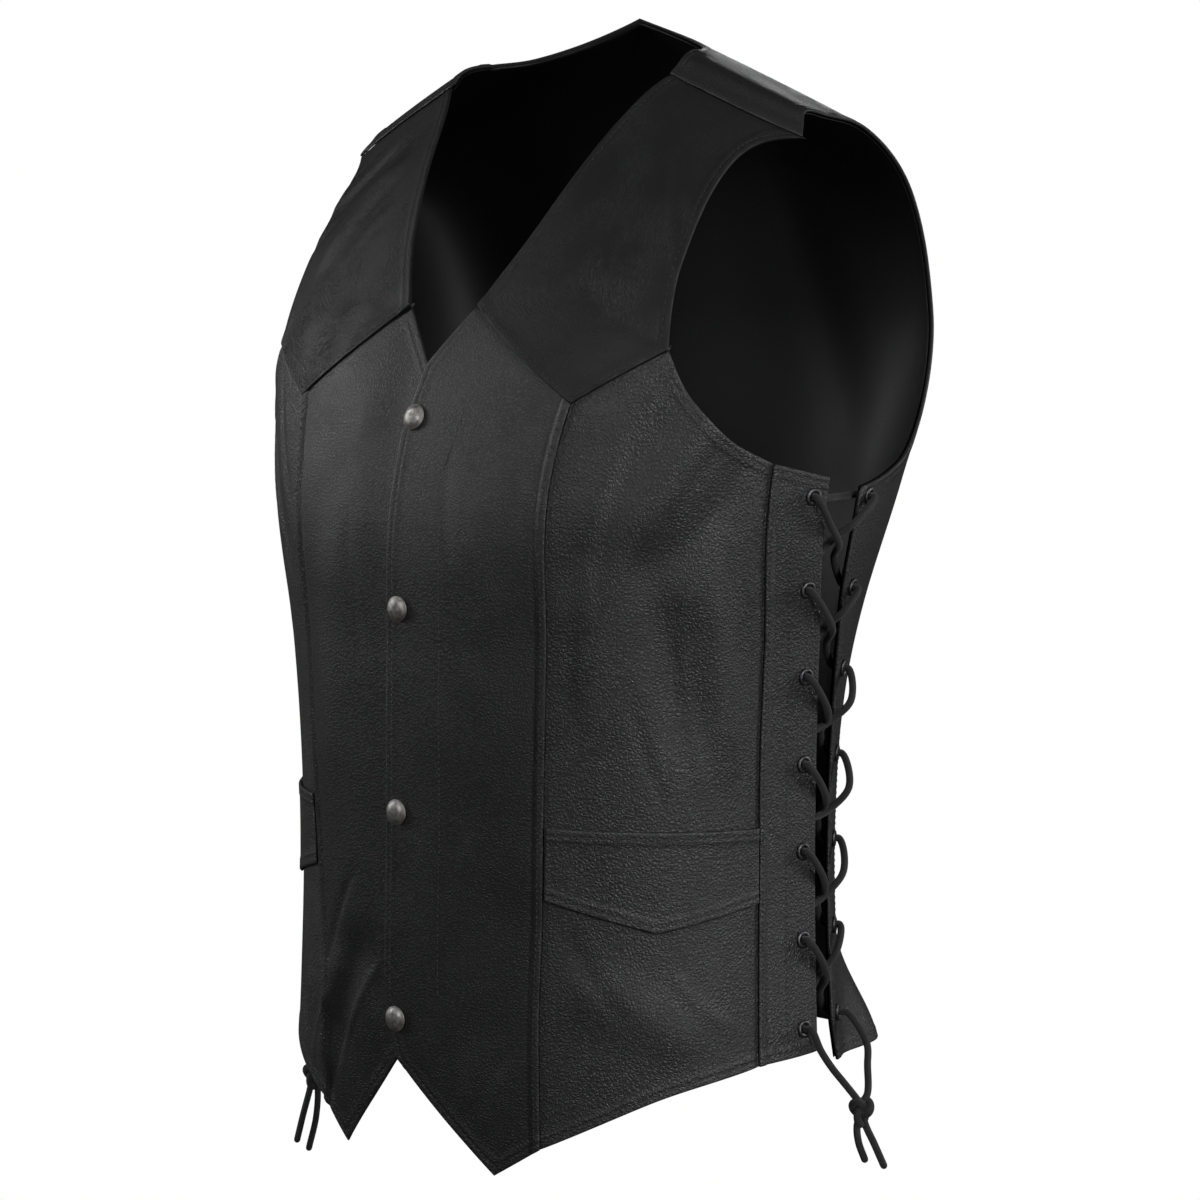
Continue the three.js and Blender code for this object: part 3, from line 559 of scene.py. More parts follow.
class Look:
    def __init__(self, name):
        self.material = bpy.data.materials.new(name)
        self.material.use_nodes = True
        self.tree = self.material.node_tree
        self.tree.nodes.clear()

    def make(self, kind, settings=None, sockets=None, output=0):
        node = self.tree.nodes.new(kind)
        for key, value in (settings or {}).items():
            setattr(node, key, value)
        for key, value in (sockets or {}).items():
            if isinstance(value, Value):
                self.tree.links.new(value.socket, node.inputs[key])
            else:
                node.inputs[key].default_value = value
        return Value(self, node.outputs[output])

    def place(self, scale=(1, 1, 1), turn=(0, 0, 0), source=None):
        source = source or self.make("ShaderNodeTexCoord", None, None, "Object")
        return self.make("ShaderNodeMapping", None, {"Vector": source, "Rotation": turn, "Scale": scale})

    def noise(self, vector, scale, detail=3, rough=0.5, twist=0):
        sockets = {"Vector": vector, "Scale": scale, "Detail": detail, "Roughness": rough,
                   "Distortion": twist}
        return self.make("ShaderNodeTexNoise", None, sockets, "Fac")

    def cells(self, vector, scale):
        return self.make("ShaderNodeTexVoronoi", {"feature": "DISTANCE_TO_EDGE"},
                         {"Vector": vector, "Scale": scale}, "Distance")

    def warped(self, vector, scale, amount):
        bend = self.make("ShaderNodeTexNoise", None, {"Vector": vector, "Scale": scale, "Detail": 2}, "Color")
        centred = self.vector("SUBTRACT", bend, (0.5, 0.5, 0.5))
        return self.vector("ADD", vector, self.vector("MULTIPLY", centred, (amount, amount, amount)))

    def vector(self, operation, *items):
        return self.make("ShaderNodeVectorMath", {"operation": operation}, dict(enumerate(items)))

    def mix(self, share, first, second):
        sockets = {0: share, 6: first, 7: second}
        return self.make("ShaderNodeMix", {"data_type": "RGBA"}, sockets, 2)

    def spread(self, name):
        # The named attribute, whole and as its three numbers
        node = self.make("ShaderNodeAttribute", {"attribute_name": name}, None, "Vector")
        parts = self.tree.nodes.new("ShaderNodeSeparateXYZ")
        self.tree.links.new(node.socket, parts.inputs[0])
        return node, [Value(self, parts.outputs[k]) for k in range(3)]

    def bump(self, height, distance, strength=1.0, under=None):
        sockets = {"Height": height, "Distance": distance, "Strength": strength}
        if under is not None:
            sockets["Normal"] = under
        return self.make("ShaderNodeBump", None, sockets, "Normal")

    def finish(self, sockets):
        shader = self.make("ShaderNodeBsdfPrincipled", None, sockets, "BSDF")
        end = self.tree.nodes.new("ShaderNodeOutputMaterial")
        self.tree.links.new(shader.socket, end.inputs["Surface"])
        return self.material


def rgb(*grey):
    return (*grey, 1)


# Leather finishes: the size and depth of a pebble and the wrinkles' depth in millimetres, how rough and
# glossy the finish is and how much it clouds, and the greys of hollow and crown: painted shade in the
# hollows and a painted highlight on the crowns, strongest on the side leather
leatherKinds = {
    "frontLeather": {"pebble": 2.0, "depth": 0.17, "wrinkle": 0.08,
                     "rough": 0.36, "cloud": 0.08, "gloss": 0.62,
                     "dark": (0.0026, 0.0026, 0.0028), "light": (0.013, 0.013, 0.0135)},
    "sideLeather": {"pebble": 2.3, "depth": 0.25, "wrinkle": 0.08,
                    "rough": 0.36, "cloud": 0.08, "gloss": 0.75,
                    "dark": (0.003, 0.003, 0.0032), "light": (0.019, 0.019, 0.0195)},
    "yokeLeather": {"pebble": 1.2, "depth": 0.06, "wrinkle": 0.16,
                    "rough": 0.40, "cloud": 0.03, "gloss": 0.4,
                    "dark": (0.002, 0.002, 0.0022), "light": (0.0065, 0.0065, 0.007)},
}


def leatherLook(name):
    kind = leatherKinds[name]
    look = Look(name)
    base = look.place()
    bent = look.warped(base, 320, 0.0011)
    size = 1000 / kind["pebble"]
    creases = look.cells(bent, size).between(0.0, 0.3)
    fine = look.cells(look.warped(base, 700, 0.0005), size * 2.1).between(0.0, 0.3)
    worn = look.noise(base, 9, 4)
    patches = look.noise(base, 34, 3)
    cutAt, (_, _, edge) = look.spread("cut")  # girth and level in metres, millimetres from the edge
    pebblesAndShade = creases * (0.6 + 0.4 * fine)
    stretched = look.place((90, 300, 1), (0, 0, 0.7), cutAt)
    wrinkle = look.noise(stretched, 1, 3, 0.55, 0.6).ridge(12) * patches.between(0.3, 0.7)
    rubbed = edge.near(0.6, 2.2) * look.noise(base, 120, 3).between(0.35, 0.7)
    # Painted shade and painted highlight: the hollows between pebble crowns take the dark grey, the crowns
    # the light grey
    tone = look.mix(pebblesAndShade * (0.45 + 0.55 * worn), rgb(*kind["dark"]), rgb(*kind["light"]))
    tone = look.mix(rubbed * 0.55, tone, rgb(*(2.1 * value for value in kind["light"])))
    rough = kind["rough"] + 0.16 * (1 - pebblesAndShade) + kind["cloud"] * (patches - 0.5) - 0.08 * rubbed
    height = pebblesAndShade * kind["depth"] - wrinkle * kind["wrinkle"]
    return look.finish({
        "Base Color": tone,
        "Roughness": rough,
        "Specular IOR Level": kind["gloss"],
        "Normal": look.bump(height, 0.001, 1.0),
    })


def suedeLook(name):
    look = Look(name)
    base = look.place()
    nap = look.noise(base, 900, 4, 0.65)
    tone = look.mix(nap, rgb(0.006, 0.006, 0.0065), rgb(0.016, 0.016, 0.017))
    return look.finish({"Base Color": tone, "Roughness": 0.78 + 0.14 * nap,
                        "Normal": look.bump(nap, 0.00018, 0.8)})


def liningLook(name):
    look = Look(name)
    base = look.place()
    cutAt, _ = look.spread("cut")
    weave = look.noise(look.place((1, 0.4, 1), (0, 0, 0.8), cutAt), 1400, 2)
    soft = look.noise(base, 6, 1)
    tone = look.mix(soft, rgb(0.0012, 0.0012, 0.0015), rgb(0.003, 0.003, 0.0038))
    return look.finish({"Base Color": tone, "Roughness": 0.46 + 0.14 * weave, "Specular IOR Level": 0.3,
                        "Normal": look.bump(weave * 0.02 + soft * 0.3, 0.001, 0.6)})


def metalLook(name, dark, light, rough):
    look = Look(name)
    base = look.place()
    _, (radius, _, _) = look.spread("turned")
    patina = look.noise(base, 420, 4)
    scratches = look.noise(look.place((900, 260, 260), (0.3, 0.5, 0.2)), 1, 3).ridge(7)
    # The tone is darker towards the outer rim
    rim = radius.between(0.72, 1.0)
    tone = look.mix(patina.between(0.25, 0.75) * (1 - 0.7 * rim), rgb(*dark), rgb(*light))
    return look.finish({"Base Color": tone, "Metallic": 1.0,
                        "Roughness": rough + 0.14 * patina + 0.12 * rim,
                        "Normal": look.bump(patina * 0.05 - scratches * 0.04, 0.001, 0.6)})


def laceLook(name):
    look = Look(name)
    run, _ = look.spread("run")
    strands = look.make("ShaderNodeTexWave", {"wave_type": "BANDS", "bands_direction": "DIAGONAL"},
                        {"Vector": look.place((1, 1, 1), (0, 0, 0), run), "Scale": 0.34, "Distortion": 1.2,
                         "Detail": 2}, "Fac")
    fluff = look.noise(look.place(), 1400, 3, 0.6)
    tone = look.mix(strands * 0.6 + fluff * 0.4, rgb(0.0045, 0.0045, 0.005), rgb(0.014, 0.014, 0.015))
    return look.finish({"Base Color": tone, "Roughness": 0.62 + 0.2 * fluff, "Sheen Weight": 0.15,
                        "Normal": look.bump(strands * 0.22 + fluff * 0.1, 0.001, 0.8)})


def threadLook(name):
    look = Look(name)
    twist = look.noise(look.place(), 1800, 2)
    tone = look.mix(twist, rgb(0.008, 0.008, 0.008), rgb(0.03, 0.03, 0.031))
    return look.finish({"Base Color": tone, "Roughness": 0.5 + 0.2 * twist,
                        "Normal": look.bump(twist, 0.0001, 0.7)})


looks = {name: leatherLook(name) for name in leatherKinds}
looks["suede"] = suedeLook("suede")
looks["lining"] = liningLook("lining")
looks["nickel"] = metalLook("nickel", (0.22, 0.215, 0.205), (0.52, 0.51, 0.49), 0.4)
looks["gunmetal"] = metalLook("gunmetal", (0.06, 0.06, 0.063), (0.26, 0.26, 0.27), 0.30)
looks["lace"] = laceLook("lace")
looks["thread"] = threadLook("thread")
print("finishes made")


# How the leather stands at its edges. Each takes millimetres from the edge.
def foldProfile(d):
    crown = 0.84 + 0.16 * np.sin(math.pi * np.clip(d / 4.6, 0, 1))
    return cut["foldRise"] * 1.2 * crown * (1 - ramp((d - 4.0) / 2.6)) - 0.3 * np.exp(-((d - 7.2) / 1.0) ** 2)


def lapProfile(d):
    return 0.8 * (1 - ramp(d / 11))


def turnedProfile(d):
    return 0.45 * (1 - ramp((d - 5.6) / 3)) - 0.3 * np.exp(-((d - 4.2) / 0.9) ** 2)


def underProfile(d):
    return -0.45 * np.exp(-(d / 2.4) ** 2)


def foldUnderside(d):
    # A lapped seam's upper piece leaves room for the piece that is tucked under it
    return 1.15 * (1 - ramp((d - 3.3) / 1.7))


profiles = {"fold": foldProfile, "lap": lapProfile, "turned": turnedProfile,
            "under": underProfile}


def arc(x):
    return np.sqrt(1 - (1 - np.clip(x, 0, 1)) ** 2)


def shell(name, grid, side, edges, look, innerLook, outer=None, inner=None, lift=None, inset=None,
          creased=True):
    # A closed wall over a grid. Edges are (profile, line) pairs; an empty spot of the grid is left open.
    if grid.shape[2] == 2:
        grid = np.concatenate((grid, np.zeros((*grid.shape[:2], 1))), axis=2)
    outer = outerFace if outer is None else outer
    inner = -outerFace if inner is None else inner
    inset = cut["seamInset"] if inset is None else inset
    filled = ~np.isnan(grid[..., 0])
    girth, level, tucked = side * grid[filled][:, 0], grid[filled][:, 1], grid[filled][:, 2]
    raised = np.zeros(len(girth)) if lift is None else lift(np.abs(girth) if side > 0 else -girth, level)
    middle = vestPoint(girth, level, 0, creased)
    normal = bodyNormal(girth, level)
    top = np.zeros(len(girth))
    nearest = np.full(len(girth), 1e3)
    inner = np.full(len(girth), float(inner))
    for kind, line in edges:
        d = np.maximum(distanceTo(middle, vestPoint(side * line[:, 0], line[:, 1])) - inset, 0)
        if kind != "under":
            nearest = np.minimum(nearest, d)
        if kind:
            top += profiles[kind](d)
        if kind in ("fold", "lap"):
            inner = inner + foldUnderside(d)
    under = tucked > 0
    nearest[under] = mesh["tuck"][-1] - tucked[under]
    top[under] = -0.45 - 0.3 * ramp(tucked[under] / 0.8)
    inner[under] = -outerFace
    half = (outer + top - inner) / 2
    centre = (outer + top + inner) / 2
    roundness = arc(nearest / 0.95)
    outside = middle + normal * (raised + centre + half * roundness)[:, None]
    inside = middle + normal * (raised + centre - half * roundness)[:, None]
    count = len(girth)
    number = np.full(filled.shape, -1)
    number[filled] = np.arange(count)
    sheetFaces = []
    rows, columns = filled.shape
    for r in range(rows - 1):
        a, b = number[r], number[r + 1]
        for c in range(columns - 1):
            if a[c] >= 0 and a[c + 1] >= 0 and b[c] >= 0 and b[c + 1] >= 0:
                sheetFaces.append((a[c], b[c], b[c + 1], a[c + 1]))
    sheetFaces = np.array(sheetFaces)
    first = sheetFaces[len(sheetFaces) // 2]
    turn = np.cross(outside[first[1]] - outside[first[0]], outside[first[3]] - outside[first[0]])
    if np.dot(turn, normal[first[0]]) < 0:
        sheetFaces = sheetFaces[:, ::-1]
    # The border of the two sheets is one line of points
    border = {}
    for face in sheetFaces:
        for k in range(4):
            one, two = int(face[k]), int(face[(k + 1) % 4])
            if (two, one) in border:
                del border[two, one]
            else:
                border[one, two] = True
    rim = np.zeros(count, bool)
    rim[[i for pair in border for i in pair]] = True
    outside[rim] = (middle + normal * (raised + centre)[:, None])[rim]
    back = np.arange(count) + count
    back[rim] = np.arange(count)[rim]
    faces = np.concatenate((sheetFaces, back[sheetFaces][:, ::-1]))
    points = np.concatenate((outside, inside))
    used = np.unique(faces)
    renumber = np.zeros(2 * count, int)
    renumber[used] = np.arange(len(used))
    spreadOut = np.stack((girth * mm, level * mm, nearest), axis=1)
    piece = addMesh(name, points[used], renumber[faces].tolist(), [looks[look], looks[innerLook]],
                    np.repeat((0, 1), len(sheetFaces)),
                    {"cut": np.concatenate((spreadOut, spreadOut))[used]})
    return piece


def declareCut(outline, node):
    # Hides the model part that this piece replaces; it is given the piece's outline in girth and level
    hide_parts(node)


def seamLevels(girthAt, top, bottom, facing=-1, step=6):
    depths = np.linspace(top, bottom, max(3, int((bottom - top) / step)))
    return np.stack((np.vectorize(girthAt)(depths), facing * depths), axis=1)


def stripGirth(depth):
    share = float(ramp((depth - 300) / 120))
    return cut["stripTopGirth"] + (cut["stripLowGirth"] - cut["stripTopGirth"]) * share


yokeInner = trace((neckCorner, yokePoint))
yokeOuter = trace((yokePoint, yokeCorner))
neckFront = trace((neckCorner, (45, -144), (58, -117), (73, -78), (81, -58), shoulderNeck))
armUnder = trace((yokeCorner, (172, -203), (198, -222), stripTop))
stripSeam = seamLevels(stripGirth, 233, cut["hemLevel"])
laceLine = seamLevels(lambda depth: cut["edgeGirth"], 240, cut["hemLevel"] - 2)
stripEdgeTop = trace((stripTop, edgeTop))
stripHem = trace(((cut["stripLowGirth"], -cut["hemLevel"]), (cut["edgeGirth"], 2 - cut["hemLevel"])))

stitches = {"margin": 4.2, "thread": 0.34, "length": 2.7, "pitch": 3.7, "sides": 6}
stitchRows = []


def sew(side, line, lift=0.0, start=2, end=2):
    # Keep a row of stitches for later: a line on the vest and how high the leather stands there
    stitchRows.append((side, line, lift, start, end))


def makeFronts(name):
    hung = hang[name]
    side = hung["side"]
    inset = cut["seamInset"]
    princess = trace((yokePoint, *hung["princess"]))
    foot = hung["princess"][-1]
    neckLine = trace((neckFoot, neckCorner))
    hemLine = chain(trace((notch, hung["hemPoint"])), trace((hung["hemPoint"], foot)))
    lap = cut["lapEdge"]
    over = side > 0
    if over:
        edge = trace((neckFoot, (-6, -216), (lap, -244), (lap, -420), (lap, -540), notch))
        top, bottom = chain(neckLine, yokeInner), hemLine
    else:
        edge = trace((underTop, (-cut["underlap"], -400), underBottom))
        top = chain(trace((underTop, neckFoot)), neckLine, yokeInner)
        bottom = chain(trace((underBottom, notch)), hemLine)
    topPins = [1 - lengthOf(yokeInner) / lengthOf(top)]
    bottomPins = [1 - lengthOf(trace((hung["hemPoint"], foot))) / lengthOf(bottom)]
    under = None if over else lambda girth, level: -cut["underDrop"] * (1 - ramp((girth - 10) / 34))
    free = chain(edge[::-1], neckLine) if over else chain(edge[::-1], trace((underTop, neckFoot)), neckLine)
    grid = patch(edge, princess, top, bottom, inset, topPins, bottomPins)
    grid = tuck(grid, top=slice(columnOf(grid, neckCorner), None))
    edges = (("fold", princess), ("turned", free), ("turned", bottom), ("under", yokeInner))
    centre = shell(f"front_centre_leather_{name}", grid, side, edges, "frontLeather", "suede",
                   lift=under)
    declareCut(chain(top, princess, bottom[::-1], edge[::-1]), f"front_centre_{name}")
    sew(side, offsetLine(princess, 3.4), cut["foldRise"] * 1.2)
    if over:
        sew(side, offsetLine(edge, -stitches["margin"]), 0.15)
        sew(side, offsetLine(edge, -40), 0, 6, 30)
        sew(side, offsetLine(neckLine, stitches["margin"]), 0.15)
    sew(side, offsetLine(hemLine, -stitches["margin"]), 0.15)

    sideHem = trace((foot, (163, -589), (cut["stripLowGirth"], -cut["hemLevel"])))
    sideTop = chain(yokeOuter, armUnder)
    sidePins = [lengthOf(yokeOuter) / lengthOf(sideTop)]
    grid = patch(princess, stripSeam, sideTop, sideHem, inset, sidePins)
    grid = tuck(grid, slice(0, columnOf(grid, yokeCorner) + 1), True, True)
    panel = shell(f"front_side_leather_{name}", grid, side,
                  (("under", princess), ("under", stripSeam), ("turned", armUnder), ("turned", sideHem),
                         ("under", yokeOuter)), "sideLeather", "suede")
    declareCut(chain(sideTop, stripSeam, sideHem[::-1], princess[::-1]), f"front_side_{name}")
    sew(side, offsetLine(armUnder, stitches["margin"]), 0.15)
    sew(side, offsetLine(sideHem, -stitches["margin"]), 0.15)

    armFront = trace((yokeCorner, *hung["arm"], shoulderArm))
    yokeTop = trace((shoulderNeck, shoulderArm))
    yokeFoot = chain(yokeInner, yokeOuter)
    yokePins = [lengthOf(yokeInner) / lengthOf(yokeFoot)]
    grid = patch(neckFront[::-1], armFront[::-1], yokeTop, yokeFoot, inset, (), yokePins)
    yoke = shell(f"front_yoke_leather_{name}", tuck(grid, slice(None)), side,
                 (("turned", neckFront), ("turned", armFront), ("lap", yokeFoot), ("under", yokeTop)),
                 "yokeLeather", "suede")
    declareCut(chain(yokeTop, armFront[::-1], yokeFoot[::-1], neckFront), f"front_yoke_{name}")
    sew(side, offsetLine(neckFront, stitches["margin"]), 0.15)
    sew(side, offsetLine(armFront, -stitches["margin"]), 0.15)
    sew(side, offsetLine(yokeInner, -2.2), 0.72)
    sew(side, offsetLine(yokeOuter, -2.2), 0.72)

    near = alongLine(princess, np.linspace(0, 1, 400))
    far = cut["stripLowGirth"] - cut["flapMargin"]
    reach = lambda at: (float(np.interp(-at, -near[:, 1], near[:, 0])) + cut["flapMargin"], at)
    topNear, lowNear = reach(-433), reach(-475)
    point = ((lowNear[0] + far) / 2, -494)
    flapTop = trace((topNear, (far, -438)))
    flapFoot = chain(trace((lowNear, point)), trace((point, (far, -482))))
    flapLeft, flapRight = trace((topNear, lowNear)), trace(((far, -438), (far, -482)))
    raised = cut["leather"] + cut["flapLift"]
    flap = shell(f"pocket_flap_leather_{name}",
                 patch(flapLeft, flapRight, flapTop, flapFoot, 0, (), [0.5], 3.0), side,
                 (("turned", flapTop), ("turned", flapFoot), (None, flapLeft), (None, flapRight)),
                 "sideLeather", "suede", outer=outerFace + raised, inner=raised - outerFace)
    outline = chain(flapTop, flapRight, flapFoot[::-1], flapLeft[::-1])
    declareCut(outline, f"pocket_flap_{name}")
    sew(side, offsetLine(flapTop, stitches["margin"]), raised + 0.15)
    sew(side, offsetLine(trace((lowNear, point)), -stitches["margin"]), raised + 0.15)
    sew(side, offsetLine(trace((point, (far, -482))), -stitches["margin"]), raised + 0.15)

    strip = shell(f"lacing_strip_leather_{name}",
                  patch(stripSeam, laceLine, stripEdgeTop, stripHem, inset), side,
                  (("fold", stripSeam), ("turned", laceLine), ("turned", stripEdgeTop), ("turned", stripHem)),
                  "sideLeather", "suede")
    declareCut(chain(stripEdgeTop, laceLine, stripHem[::-1], stripSeam[::-1]), f"lacing_strip_{name}")
    sew(side, offsetLine(stripSeam, -2.4), cut["foldRise"] * 1.2)
    sew(side, offsetLine(laceLine, 23), 0)
    sew(side, offsetLine(laceLine, stitches["margin"]), 0.15)
    sew(side, offsetLine(stripEdgeTop, stitches["margin"]), 0.15)
    sew(side, offsetLine(stripHem, -stitches["margin"]), 0.15)


for name in hang:
    makeFronts(name)
print("fronts made")

# The back: one panel from the shoulder seams over the ridge to the hem, and its lining
armOutlines = {
    "left": trace((shoulderArm, (184, -22), (182, 0), (181, 22), (181, 50), (182, 80), (181, 112), (180, 145),
                   (180, 175), (188, 210), (205, 230), (228, 239), (float(backEdge(245)), 245))),
    "right": trace((shoulderArm, (184, -22), (182, 0), (185, 22), (194, 50), (208, 80), (224, 112),
                    (239, 145), (247, 175), (249, 200), (252, 222), (258, 237), (float(backEdge(245)), 245))),
}
strapShare = 0.21  # how far down the armhole the shoulder strap ends, at the side of the neck


def flipped(line):
    return line * (-1, 1)


def backGrid(inset, inside):
    near = np.array(mesh["near"])
    lace = seamLevels(lambda depth: float(backEdge(min(depth, 560))), 245, cut["backHemLevel"], 1)
    neckSide = trace((shoulderNeck, (93, -8), (88, 14)))
    neckBack = trace(((88, 14), (72, 37), (42, 52), (0, 58), (-42, 52), (-72, 37), (-88, 14)))
    shoulder = trace((shoulderArm, shoulderNeck))
    low = float(backEdge(560))
    hem = trace(((-low, cut["backHemLevel"]), (-110, 592), (0, 594), (110, 592), (low, cut["backHemLevel"])))
    total = lengthOf(armOutlines["left"])
    strapCount = max(1, int((lengthOf(shoulder) - 2 * near[-1]) / inside))
    strapRows = max(3, int((strapShare * total - near[-1]) / inside))
    straps, sides, feet = {}, {}, {}
    for name, arm in armOutlines.items():
        total = lengthOf(arm)
        strapArm = evenly(alongLine(arm, np.linspace(0, strapShare, 60)), 60)
        feet[name] = trace((tuple(strapArm[-1]), (88, 14)))
        sides[name] = chain(evenly(alongLine(arm, np.linspace(strapShare, 1, 200)), 300), lace)
        shares = np.concatenate(((near + inset)[:-1] / total,
                                 np.linspace((near[-1] + inset) / total, strapShare, strapRows)))
        straps[name] = []
        for at in shares / strapShare:
            line = alongLine(strapArm, at) + (alongLine(neckSide, at) - alongLine(strapArm, at)
                                              ) * np.linspace(0, 1, 30)[:, None]
            straps[name].append(alongLine(line, spread(lengthOf(line), strapCount, inset, ())))
    neckCount = max(4, int(lengthOf(neckBack) / inside))
    neckLine = alongLine(neckBack[::-1], np.linspace(0, 1, neckCount + 1))[1:-1]
    blank = np.full((len(neckLine), 2), np.nan)
    rows = [np.concatenate((flipped(far), blank, row[::-1]))
            for far, row in zip(straps["right"][:-1], straps["left"][:-1])]
    top = np.concatenate((flipped(straps["right"][-1]), neckLine, straps["left"][-1][::-1]))
    rows.append(top)
    outline = chain(flipped(feet["right"]), neckBack[::-1], feet["left"][::-1])
    topAt = np.concatenate(([0], np.cumsum(np.linalg.norm(np.diff(top, axis=0), axis=1))))
    topShare = (topAt + inset) / (topAt[-1] + 2 * inset)
    down = lengthOf(sides["left"])
    fall = int((down - near[-1]) / inside)
    shares = np.concatenate((np.linspace(0, 1 - (near[-1] + inset) / down, fall)[1:],
                             1 - ((near + inset) / down)[::-1][1:]))
    for t in shares:
        far, side = flipped(alongLine(sides["right"], t)), alongLine(sides["left"], t)
        length = (1 - t) * topAt[-1] + t * lengthOf(hem)
        s = topShare.copy()
        s[:len(near)] = (near + inset) / length
        s[-len(near):] = 1 - ((near + inset) / length)[::-1]
        ends = (1 - t) * top + t * alongLine(hem, s)
        across = (1 - s)[:, None] * far + s[:, None] * side
        corners = ((1 - s) * (1 - t))[:, None] * outline[0] + (s * (1 - t))[:, None] * outline[-1]
        corners += ((1 - s) * t)[:, None] * hem[0] + (s * t)[:, None] * hem[-1]
        rows.append(across + ends - corners)
    edges = {"armholes": [armOutlines["left"], flipped(armOutlines["right"])],
             "laced": [lace, flipped(lace)], "neckSides": [neckSide, flipped(neckSide)],
             "shoulders": [shoulder, flipped(shoulder)], "neckBack": [neckBack], "hem": [hem]}
    return np.array(rows), edges


def makeBack():
    grid, edges = backGrid(cut["seamInset"], 3.6)
    kinds = {"armholes": "turned", "laced": "turned", "neckSides": "turned", "shoulders": "lap",
             "neckBack": "turned", "hem": "turned"}
    lines = [(kind, line) for key, kind in kinds.items() for line in edges[key]]
    panel = shell("back_leather", grid, 1, lines, "frontLeather", "suede")
    half = [chain(edges["shoulders"][k][::-1], edges["armholes"][k], edges["laced"][k]) for k in (0, 1)]
    outline = chain(half[0], edges["hem"][0][::-1], half[1][::-1], edges["neckSides"][1],
                    edges["neckBack"][0][::-1], edges["neckSides"][0][::-1])
    declareCut(outline, "back")
    for k, way in ((0, 1), (1, -1)):
        sew(1, offsetLine(edges["armholes"][k], -stitches["margin"] * way), 0.15)
        sew(1, offsetLine(edges["laced"][k], -stitches["margin"] * way), 0.15)
        sew(1, offsetLine(edges["laced"][k], -23 * way), 0)
        sew(1, offsetLine(edges["neckSides"][k], stitches["margin"] * way), 0.15)
        sew(1, offsetLine(edges["shoulders"][k], 2.4 * way), 0.7)
    sew(1, offsetLine(edges["neckBack"][0], stitches["margin"]), 0.15)
    sew(1, offsetLine(edges["hem"][0], stitches["margin"]), 0.15)
    liningGrid, edges = backGrid(cut["liningInset"], 5.0)
    lines = [(None, line) for key in kinds for line in edges[key]]
    outer = -outerFace - cut["liningGap"]
    lining = shell("back_lining_cloth", liningGrid, 1, lines, "lining", "lining",
                   outer=outer, inner=outer - cut["liningWall"], inset=cut["liningInset"], creased=False)
    declareCut(outline, "back_lining")


makeBack()
print("back made")


# Stitching: short turns of thread, each sunk at its ends
def makeStitches():
    sides = stitches["sides"]
    around = np.linspace(0, 2 * math.pi, sides, endpoint=False)
    # Along the stitch, thickness and height
    stations = ((-0.5, 0.1, -0.34), (-0.3, 0.86, -0.06), (0, 1.0, 0.02), (0.3, 0.86, -0.06),
                (0.5, 0.1, -0.34))
    groups = {"front": ([], []), "back": ([], [])}
    for side, line, lift, start, end in stitchRows:
        total = lengthOf(line)
        count = int((total - start - end) / stitches["pitch"])
        if count < 2:
            continue
        at = (start + (np.arange(count) + 0.5) * (total - start - end) / count) / total
        half = stitches["length"] / total / 2
        spots = [alongLine(line, at + k * half) for k in (-1, 0, 1)]
        spots = [vestPoint(side * s[:, 0], s[:, 1], outerFace + lift) for s in spots]
        normal = bodyNormal(side * alongLine(line, at)[:, 0], alongLine(line, at)[:, 1])
        along = unit(spots[2] - spots[0])
        across = unit(np.cross(normal, along))
        points, faces = groups["front" if line[len(line) // 2, 1] < 0 else "back"]
        for k in range(count):
            base = len(points)
            for shift, size, rise in stations:
                middle = spots[1][k] + along[k] * shift * stitches["length"] + normal[k] * rise
                for angle in around:
                    points.append(middle + stitches["thread"] * size
                                  * (across[k] * math.cos(angle) + normal[k] * math.sin(angle)))
            for ring in range(len(stations) - 1):
                for i in range(sides):
                    j = (i + 1) % sides
                    a, b = base + ring * sides, base + (ring + 1) * sides
                    faces.append((a + i, a + j, b + j, b + i))
            faces.append(tuple(base + i for i in reversed(range(sides))))
            faces.append(tuple(base + (len(stations) - 1) * sides + i for i in range(sides)))
    for key, (points, faces) in groups.items():
        addMesh(f"stitching_{key}", np.array(points), faces, [looks["thread"]])
        print(f"stitching {key}: {len(faces)} faces")


makeStitches()


# Hard parts, turned on a lathe: rows of radius and height
snapSizes = {
    "levels": (-216, -314, -432, -553),
    "lift": 0.2,
    "profile": ((0, 0), (6.9, 0), (7.35, 0.2), (7.5, 0.55), (7.4, 0.95), (7.05, 1.2), (6.72, 1.26),
                (6.45, 1.5), (5.9, 2.05), (5.0, 2.6), (3.8, 3.02), (2.4, 3.28), (1.1, 3.39), (0, 3.4)),
}
eyeletSizes = {
    "profile": ((2.55, -1.9), (3.0, -1.9), (3.1, 0.1), (5.05, 0.1), (5.2, 0.35), (5.05, 0.75), (4.6, 1.1),
                (4.0, 1.25), (3.4, 1.12), (2.95, 0.8), (2.7, 0.3), (2.55, -1.9)),
}


def turned(profile, segments):
    # A ring of points for each row of the profile
    profile = np.array(profile, float)
    angle = np.linspace(0, 2 * math.pi, segments, endpoint=False)
    points = np.stack((profile[:, None, 0] * np.cos(angle), profile[:, None, 0] * np.sin(angle),
                       np.repeat(profile[:, 1:], segments, axis=1)), axis=2).reshape(-1, 3)
    faces = []
    for k in range(len(profile) - 1):
        for i in range(segments):
            j = (i + 1) % segments
            faces.append((k * segments + i, k * segments + j, (k + 1) * segments + j, (k + 1) * segments + i))
    top = profile[:, 0].max()
    marks = np.stack((np.hypot(points[:, 0], points[:, 1]) / top, points[:, 2], points[:, 0] * 0), axis=1)
    return points, faces, marks


def stand(points, centre, normal):
    turn = Vector((0, 0, 1)).rotation_difference(Vector(normal)).to_matrix()
    return points @ np.array(turn).T + centre


